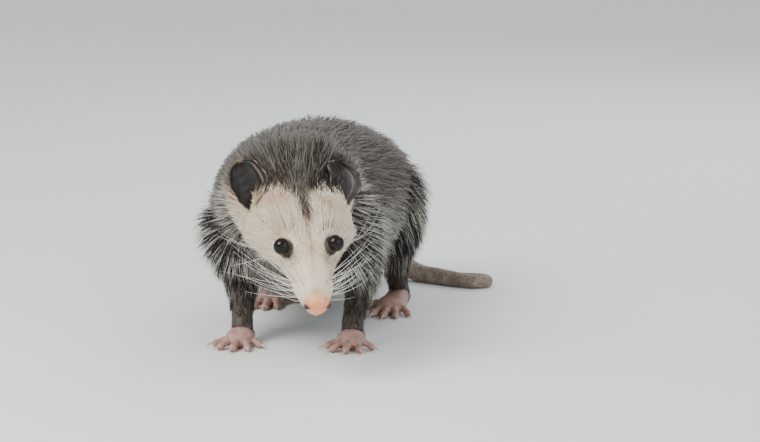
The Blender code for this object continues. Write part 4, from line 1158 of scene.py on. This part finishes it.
def from_eye(point, side):
    """Steps to places from an eye's line of sight, and how far along it they are."""
    centre, look, _, _ = eye_place(side)
    away = point - centre
    height = away @ look
    return away - look * height[:, None], height


def lie_of(point, normal, first, part, s):
    """The way that hair lies at each root: backwards, parted round the eyes and falling down the
    sides."""
    flow = skin_flow[first].copy()
    trunk_here = (part == TRUNK)[:, None]
    left = spine_axes(np.where(part == TRUNK, s, 100.0))[1]
    side = (normal * left).sum(axis=1, keepdims=True)
    fall = np.interp(s, *FALL)[:, None]
    flow = flow + trunk_here * (DOWN * fall * np.abs(side) + left * side * 0.12)
    for eye_side in (1, -1):
        away, _ = from_eye(point, eye_side)
        d = np.linalg.norm(away, axis=1, keepdims=True)
        flow = flow + trunk_here * 1.3 * unit(away) * np.exp(-((d / 10.5) ** 2))
    flow = flow + seeds.normal(0, 0.10, flow.shape)
    return unit(flow - normal * (flow * normal).sum(axis=1, keepdims=True))


def gather(point, spacing):
    """For each root, the root of the tuft that it leans to."""
    count = max(2, int(len(point) * spacing))
    heads = seeds.choice(len(point), count, replace=False)
    lookup = KDTree(count)
    for h in heads:
        lookup.insert(point[h], int(h))
    lookup.balance()
    return np.array([lookup.find(p)[1] for p in point])


EAR_PLACES = {side: ear_axes(side) for side in (1, -1)}


def open_ears(point, length):
    """Keeps the hair in front of an ear so short that it doesn't hide the ear."""
    for side in (1, -1):
        root, _, _, face = EAR_PLACES[side]
        away = point - root
        near = np.linalg.norm(away, axis=1)
        before = smooth(away @ face, *((-14.0, -5.0) if side > 0 else (-6.0, 2.0)))
        before = before * (1 - smooth(near, 24.0, 34.0))
        most = 3.0 + 0.2 * near if side > 0 else 6.0 + 0.45 * near
        length = length * (1 - before) + np.minimum(length, most) * before
    return length


def clear_ears(point, normal, flow, lift, length, places):
    """Turns the hair that would run into an ear up along it, and shortens what still would touch it."""
    for i in places:
        aim = flow[i] * math.cos(lift[i] * 0.7) + normal[i] * math.sin(lift[i] * 0.7)
        if ear_tree.ray_cast(Vector(point[i]), Vector(aim), float(length[i]))[0] is None:
            continue
        side = 1 if point[i] @ HEAD_LEFT > NOSE_TIP @ HEAD_LEFT else -1
        _, axis, _, face = EAR_PLACES[side]
        way = unit(axis + 0.55 * face)
        rise = float(np.clip(way @ normal[i], 0.3, 0.9))
        lift[i] = math.asin(rise)
        flow[i] = unit(way - normal[i] * (way @ normal[i]))
        length[i] = min(length[i], (11.0 if side < 0 else 4.0) + 2.5 * math.sin(i))
        aim = flow[i] * math.cos(lift[i] * 0.7) + normal[i] * math.sin(lift[i] * 0.7)
        hit = ear_tree.ray_cast(Vector(point[i]), Vector(aim), float(length[i]))
        if hit[0] is not None:
            length[i] = max(hit[3] * 0.92, 0.6)


def unwrap(part, s, angle, low, high):
    """Where each root lies on a flat pattern of the skin: round it one way and along it the other."""
    turn = np.mod(angle + math.pi / 2, 2 * math.pi) / (2 * math.pi)
    limb = (part == FORELEG) | (part == HINDLEG)
    foot = (part == FORE_FOOT) | (part == HIND_FOOT)
    along = np.where(limb | foot, np.clip(s, 0, 1), (s - low) / max(high - low, 1e-6))
    return np.clip(np.column_stack([turn, along]), 0, 1) * (1 - 2 * PATCH) + PATCH / 2


def strand_mesh(name, root, normal, flow, onward, looks, patch, stations):
    """One mesh with a closed, three-sided, tapered strand at each root, bent as it rises."""
    count, rings = len(root), len(stations)
    shapes = ("length", "width", "lift", "fall", "lean")
    length, width, lift, fall, lean = (looks[key][:, None] for key in shapes)
    steps = np.concatenate([[0.0], stations, [1.0]])
    place = root - normal * (0.8 + 0.2 * width)
    spots, ways = [], []
    side_curl = unit(np.cross(normal, flow)) * looks["curl"][:, None]
    for i in range(1, len(steps)):
        middle = (steps[i - 1] + steps[i]) / 2
        angle = lift * (1 - 0.75 * middle)
        way = flow * np.cos(angle) + normal * np.sin(angle) + side_curl * math.sin(middle * 3.0)
        way = unit(way + (onward - flow) * middle * 0.9 + DOWN * fall * middle**2)
        ways.append(way)
        if i > 1 or steps[i] > 0:
            place = place + way * length * (steps[i] - steps[i - 1])
        spots.append(place + looks["draw"] * lean * steps[i] ** 1.6)
    ways = [ways[1], *ways[1:]] if steps[1] == 0 else ways
    shape = np.interp(stations, [0.0, 0.25, 0.7, 1.0], [0.7, 1.0, 0.75, 0.2])
    verts = np.empty((count, rings * STRAND_SIDES + 1, 3))
    for i in range(rings):
        across = unit(np.cross(normal, ways[i]))
        over = np.cross(ways[i], across)
        for k, (a, b) in enumerate(((-0.5, -0.16), (0.5, -0.16), (0.0, 0.3))):
            verts[:, i * STRAND_SIDES + k] = spots[i] + (across * a + over * b) * width * shape[i]
    verts[:, -1] = spots[-1]
    faces = [(2, 1, 0)]
    for i in range(rings - 1):
        for k in range(3):
            m, n, o, p = i * 3 + k, i * 3 + (k + 1) % 3, (i + 1) * 3 + (k + 1) % 3, (i + 1) * 3 + k
            faces += [(m, n, o), (m, o, p)]
    top = (rings - 1) * 3
    faces += [(top + k, top + (k + 1) % 3, rings * 3) for k in range(3)]
    faces = np.array(faces)
    each = rings * 3 + 1
    index = (faces[None] + (np.arange(count) * each)[:, None, None]).reshape(-1)
    mesh = bpy.data.meshes.new(name)
    mesh.vertices.add(count * each)
    mesh.vertices.foreach_set("co", to_world(verts.reshape(-1, 3)).ravel())
    mesh.loops.add(len(index))
    mesh.loops.foreach_set("vertex_index", index.astype(np.int32))
    mesh.polygons.add(len(index) // 3)
    mesh.polygons.foreach_set("loop_start", np.arange(0, len(index), 3, dtype=np.int32))
    mesh.update(calc_edges=True)
    along = np.append(np.repeat(stations, 3), 1.0)
    carry(mesh, "along", np.tile(along, count))
    for key in ("tone", "guard", "white", "dark", "tan"):
        carry(mesh, key, np.repeat(looks[key], each))
    ring_u = np.append(np.tile([0.0, 0.5, 1.0], rings), 0.5) * PATCH
    corner_u = ring_u[faces].reshape(-1)
    corner_v = (along * PATCH)[faces].reshape(-1)
    uv = np.empty((count, len(corner_u), 2))
    uv[:, :, 0] = patch[:, :1] + corner_u
    uv[:, :, 1] = patch[:, 1:] + corner_v
    mesh.uv_layers.new(name="OFBake").data.foreach_set("uv", uv.ravel().astype(np.float32))
    return mesh


def coat_material():
    """Hair: the shared colours on a soft sheen."""
    made, tree, shader = finish("hair", 0.5, Specular_IOR_Level=0.35)
    tree.links.new(pelage(tree), shader.inputs["Base Color"])
    return made


HAIR = coat_material()


def dress(name, where, count, width, guard_share, stations, clump=0.05, lean=0.55):
    """One piece of the coat: its roots, how the hair grows from each, its mesh and its finish."""
    point, normal, first, part, s, depth, bad = pick_roots(where, count)
    keep = (bad < 0.35) & (depth > 0.15)
    point, normal, first, part, s, depth = (v[keep] for v in (point, normal, first, part, s, depth))
    total = len(point)
    trunk_here = part == TRUNK
    angle = np.where(trunk_here, trunk_angles(point, np.where(trunk_here, s, 0.0)), known[first, 5])
    flow = lie_of(point, normal, first, part, s)
    limb_here = (part == FORELEG) | (part == HINDLEG)
    at = np.where(trunk_here, s, np.where(part == JAW, JAW_LIKE, FOOT_LIKE))
    at = np.where(limb_here, np.interp(s, *LEG_LIKE), at)
    lift = np.radians(np.interp(at, LIE[:, 0], LIE[:, 1])) * seeds.uniform(0.8, 1.2, total)
    heads = gather(point, clump)
    streak = seeds.random(total)[heads]
    guard = (seeds.random(total) < guard_share * (0.3 + 1.4 * streak)).astype(float)
    longest = np.interp(at, LIE[:, 0], LIE[:, 2])
    length = np.minimum(depth / (0.62 * np.sin(lift)), longest)
    length = length * np.where(trunk_here, 1 - 0.38 * np.cos(angle) ** 2 * smooth(s, 118, 150), 1.0)
    length = length * np.where(guard > 0, seeds.uniform(0.8, 1.06, total), seeds.uniform(0.6, 0.84, total))
    for side in (1, -1):
        away, height = from_eye(point, side)
        d = np.linalg.norm(away, axis=1)
        length = length * np.where(height > -6.0, np.clip((d - 4.6) / 6.5, 0.2, 1.0), 1.0)
    draw = point[heads] - point
    near = np.linalg.norm(draw, axis=1, keepdims=True)
    draw = draw * np.minimum(1.0, 12.0 / np.maximum(near, 1e-6))
    drawn = lean * seeds.uniform(0.6, 1.2, total)
    drawn = drawn * np.clip(length / 12.0, 0.1, 1.0)
    length = np.where(trunk_here & (s < 130), open_ears(point, length), length)
    clear_ears(point, normal, flow, lift, length, np.flatnonzero((s > 58) & (s < 130) & trunk_here))
    white, dark, tan = markings(part, s + seeds.normal(0, 3.0, total) * (s > 75), angle)
    tone = np.clip(0.55 * seeds.random(total) + 0.45 * streak, 0, 1)
    patchy = white * (s > 100) * (streak < 0.25) * 0.6
    looks = {
        "length": length,
        "lift": lift,
        "lean": drawn,
        "draw": draw,
        "width": np.where(guard > 0, width[1], width[0]) * seeds.uniform(0.8, 1.2, total),
        "fall": np.full(total, 0.22),
        "curl": seeds.normal(0, 0.14, total),
        "tone": tone,
        "guard": guard,
        "white": white * (1 - patchy),
        "dark": dark * seeds.uniform(0.75, 1.0, total),
        "tan": tan * seeds.uniform(0.5, 1.0, total),
    }
    patch = unwrap(part, s, angle, s.min(), s.max())
    reach = np.clip(np.where(trunk_here, s + 0.8 * length, 0.0), 0, SPINE_LENGTH)
    steer = spine_axes(reach)[0] - spine_axes(np.where(trunk_here, s, 0.0))[0]
    onward = flow - steer * trunk_here[:, None]
    mesh = strand_mesh(name, point, normal, flow, onward, looks, patch, np.array(stations))
    mesh.shade_smooth()
    mesh.materials.append(HAIR)
    made = bpy.data.objects.new(name, mesh)
    bpy.context.scene.collection.objects.link(made)
    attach(made, "root")
    return made


LONG = (0.0, 0.35, 0.7)
SHORT = (0.0, 0.55)
trunk_facets = (facet_part == TRUNK).all(axis=1)
fore_facets = np.isin(facet_part, (FORELEG, FORE_FOOT)).any(axis=1)
hind_facets = np.isin(facet_part, (HINDLEG, HIND_FOOT)).any(axis=1)


def span(low, high):
    """The trunk's facets between two lengths along the spine."""
    return trunk_facets & (facet_s >= low) & (facet_s < high)


facet_left = spine_axes(facet_s * trunk_facets)[1]
facet_axis = read_curve(SPINE, facet_s * trunk_facets)[:, :3]
left_half = (facet_mid * facet_left).sum(axis=1) > (facet_axis * facet_left).sum(axis=1)
jaw_facets = (facet_part == JAW).any(axis=1)

dress("coat_muzzle", span(8, 46) | jaw_facets, 15000, (0.42, 0.30), 0.5, SHORT, lean=0.3)
dress("coat_brow", span(46, 74), 10400, (0.58, 0.38), 0.5, LONG, lean=0.4)
dress("coat_cheeks", span(74, 100), 10200, (0.86, 0.48), 0.42, LONG)
dress("coat_ruff", span(100, 132), 10600, (1.02, 0.64), 0.42, LONG, clump=0.07, lean=0.7)
dress("coat_neck", span(132, 172), 9800, (1.22, 0.8), 0.44, LONG, clump=0.07, lean=0.7)
dress("coat_shoulders", span(172, 236), 10000, (1.42, 0.88), 0.44, LONG, clump=0.06, lean=0.7)
dress("coat_flank_left", span(236, 356) & left_half, 8000, (1.5, 0.92), 0.44, LONG, lean=0.7)
dress("coat_flank_right", span(236, 356) & ~left_half, 8000, (1.5, 0.92), 0.44, LONG, lean=0.7)
dress("coat_rump", span(356, 480), 9800, (1.5, 0.92), 0.44, LONG, lean=0.7)
dress("coat_forelegs", fore_facets, 9000, (0.8, 0.45), 0.3, SHORT)
dress("coat_hindlegs", hind_facets, 9000, (0.8, 0.45), 0.3, SHORT)

# Claws: short curved pale horn at the end of every toe but the hind thumbs.


def horn_material():
    """Pale horn, a little glossy."""
    made, tree, shader = finish("horn", 0.35)
    place = node(tree, "ShaderNodeTexCoord").outputs["Object"]
    grain = noise(tree, place, 420.0, 2.0)
    colour = mix(tree, grain, (0.42, 0.32, 0.23, 1.0), (0.66, 0.55, 0.42, 1.0))
    tree.links.new(colour, shader.inputs["Base Color"])
    return made


def claws(hind, side, name):
    """The claws of one foot as one piece."""
    where = limb_keys(hind, side)[-1, 1:4]
    bits = []
    for i, row in enumerate(HIND_TOES if hind else FORE_TOES):
        if hind and i == 0:
            continue
        root, way, hint = toe_path(where, side, row)
        q = np.linspace(0, 1, 9)
        path = root + way * (0.9 * row[3] + q * (CLAW_LENGTH + 2.0))[:, None]
        path[:, 2] = 3.1 + 0.5 * np.sin(q * 2.4) - 2.5 * q**2
        size = 1.2 * (1 - q) ** 0.7 + 0.12
        bits.append(tube("claw", path, size * 0.8, size, 10, hint))
    made = join(bits, name)
    made.data.shade_smooth()
    made.data.materials.append(HORN)
    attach(made, "root")
    return made


HORN = horn_material()
for hind, kind in ((0, "fore"), (1, "hind")):
    for side, hand in ((1, "left"), (-1, "right")):
        claws(hind, side, f"claws_{kind}_{hand}")

# Whiskers: stiff bristles, most of them white, that fan from the pads of the muzzle and curve back,
# with a few dark ones among them, and shorter ones over the eyes and on the cheeks.

WHISKER_RADIUS = 0.17
# Distance behind the nose, degrees, length, share outwards, upwards and back, dark or not.
LOOSE_WHISKERS = (
    (17.0, 50.0, 34.0, 0.42, 0.50, 0.9, 1.0),
    (22.0, 30.0, 52.0, 0.62, 0.30, 0.9, 1.0),
    (60.0, 66.0, 24.0, 0.10, 0.55, 0.8, 1.0),
    (63.0, 60.0, 28.0, 0.16, 0.50, 0.9, 1.0),
    (66.0, -8.0, 40.0, 0.95, -0.10, 0.5, 0.0),
    (68.0, -16.0, 44.0, 0.95, -0.25, 0.5, 0.0),
    (64.0, -24.0, 38.0, 0.9, -0.45, 0.4, 0.0),
)
# The rows of the muzzle's pad: degrees and the length of the longest.
PAD_ROWS = ((24.0, 34.0), (10.0, 46.0), (-5.0, 58.0), (-19.0, 62.0), (-33.0, 52.0))
PAD_COLUMNS = 4
WHISKERS = []
for row, (degrees, long) in enumerate(PAD_ROWS):
    for k in range(PAD_COLUMNS):
        WHISKERS.append((14.0 + 5.5 * k + row % 2 * 2.2, degrees, long * (0.62 + 0.12 * k), 0.95,
                         0.16 - 0.12 * row, 0.36 + 0.11 * k, 0.0))
WHISKERS += LOOSE_WHISKERS


def bristle_material():
    """White bristle, brown-black where a piece says so."""
    made, tree, shader = finish("bristle", 0.35)
    colour = mix(tree, read(tree, "dark"), (0.92, 0.90, 0.84, 1.0), (0.035, 0.025, 0.02, 1.0))
    tree.links.new(colour, shader.inputs["Base Color"])
    return made


def whiskers():
    """All the whiskers as one piece."""
    draw = np.random.default_rng(5)
    bits, shades = [], []
    forward, left, top = head_axes()
    for side in (1, -1):
        for back, degrees, long, outwards, upwards, behind, shade in WHISKERS:
            degrees = degrees + draw.uniform(-2.5, 2.5)
            angle = math.radians(degrees if side > 0 else 180 - degrees)
            s, a = np.array([back]), np.array([angle])
            root = trunk_surface(s, a)[0] - trunk_normal(s, a)[0] * 0.6
            way = unit(left * side * outwards + top * upwards - forward * behind + draw.normal(0, 0.13, 3))
            turn = unit(-forward * 0.8 - top * draw.uniform(-0.5, 0.7) + left * side * 0.2)
            t = np.linspace(0, 1, 12)[:, None]
            bend = draw.uniform(0.15, 0.75)
            curve = way * (t - bend * t**2 / 2) + turn * bend * t**2 * 0.8
            path = root + long * draw.uniform(0.85, 1.15) * curve
            path[:, 2] = np.maximum(path[:, 2], 1.5)
            size = WHISKER_RADIUS * (1 - 0.85 * t[:, 0])
            bits.append(tube("bristle", path, size, size, 5, unit(np.cross(way, turn))))
            shades.append(np.full(len(bits[-1].data.vertices), shade))
    made = join(bits, "whiskers")
    carry(made.data, "dark", np.concatenate(shades))
    made.data.shade_smooth()
    made.data.materials.append(bristle_material())
    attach(made, "root")


whiskers()

# The camera and lights of the picture: a long lens from a little above and to the animal's left, on a
# pale floor.

CAMERA_DISTANCE = 3.0
PIXELS_PER_METRE = 1350.0
SENSOR = 36.0
WIDTH, HEIGHT = 760, 442
NOSE_PIXEL = (317.5, 309.0)

azimuth, elevation = math.radians(12.0), math.radians(10.0)
right = Vector((math.cos(azimuth), math.sin(azimuth), 0.0))
ahead = Vector((-math.sin(azimuth) * math.cos(elevation), math.cos(azimuth) * math.cos(elevation),
                -math.sin(elevation)))
up = right.cross(ahead)
nose_point = Vector(to_world(NOSE_TIP))
u = (NOSE_PIXEL[0] - WIDTH / 2) / PIXELS_PER_METRE
v = (HEIGHT / 2 - NOSE_PIXEL[1]) / PIXELS_PER_METRE
bpy.ops.object.camera_add(location=nose_point - right * u - up * v - ahead * CAMERA_DISTANCE)
camera = bpy.context.object
camera.rotation_euler = Matrix((right, up, -ahead)).transposed().to_euler()
camera.data.sensor_width = SENSOR
camera.data.lens = SENSOR * CAMERA_DISTANCE * PIXELS_PER_METRE / WIDTH
bpy.context.scene.camera = camera


def soft_light(name, size, power, colour, place):
    """A large soft lamp that faces the animal."""
    bpy.ops.object.light_add(type="AREA", location=place)
    lamp = bpy.context.object
    lamp.name = name
    lamp.data.size = size
    lamp.data.energy = power
    lamp.data.color = colour
    lamp.rotation_euler = (Vector((0.0, 0.0, 0.08)) - Vector(place)).to_track_quat("-Z", "Y").to_euler()
    return lamp


soft_light("key", 0.9, 30.0, (1.0, 0.98, 0.95), (-0.7, -1.0, 1.25))
soft_light("fill", 1.2, 8.0, (0.93, 0.97, 1.0), (1.2, -0.9, 0.7))
soft_light("back", 0.7, 6.0, (1.0, 1.0, 1.0), (0.3, 1.2, 0.9))

bpy.ops.mesh.primitive_plane_add(size=8.0)
floor = bpy.context.object
floor.name = "floor"
pale, tree, shader = finish("pale floor", 0.9)
shader.inputs["Base Color"].default_value = (0.80, 0.81, 0.81, 1.0)
floor.data.materials.append(pale)

world = bpy.data.worlds.new("sky")
world.use_nodes = True
world.node_tree.nodes["Background"].inputs["Color"].default_value = (0.90, 0.93, 0.95, 1.0)
world.node_tree.nodes["Background"].inputs["Strength"].default_value = 0.9
bpy.context.scene.world = world
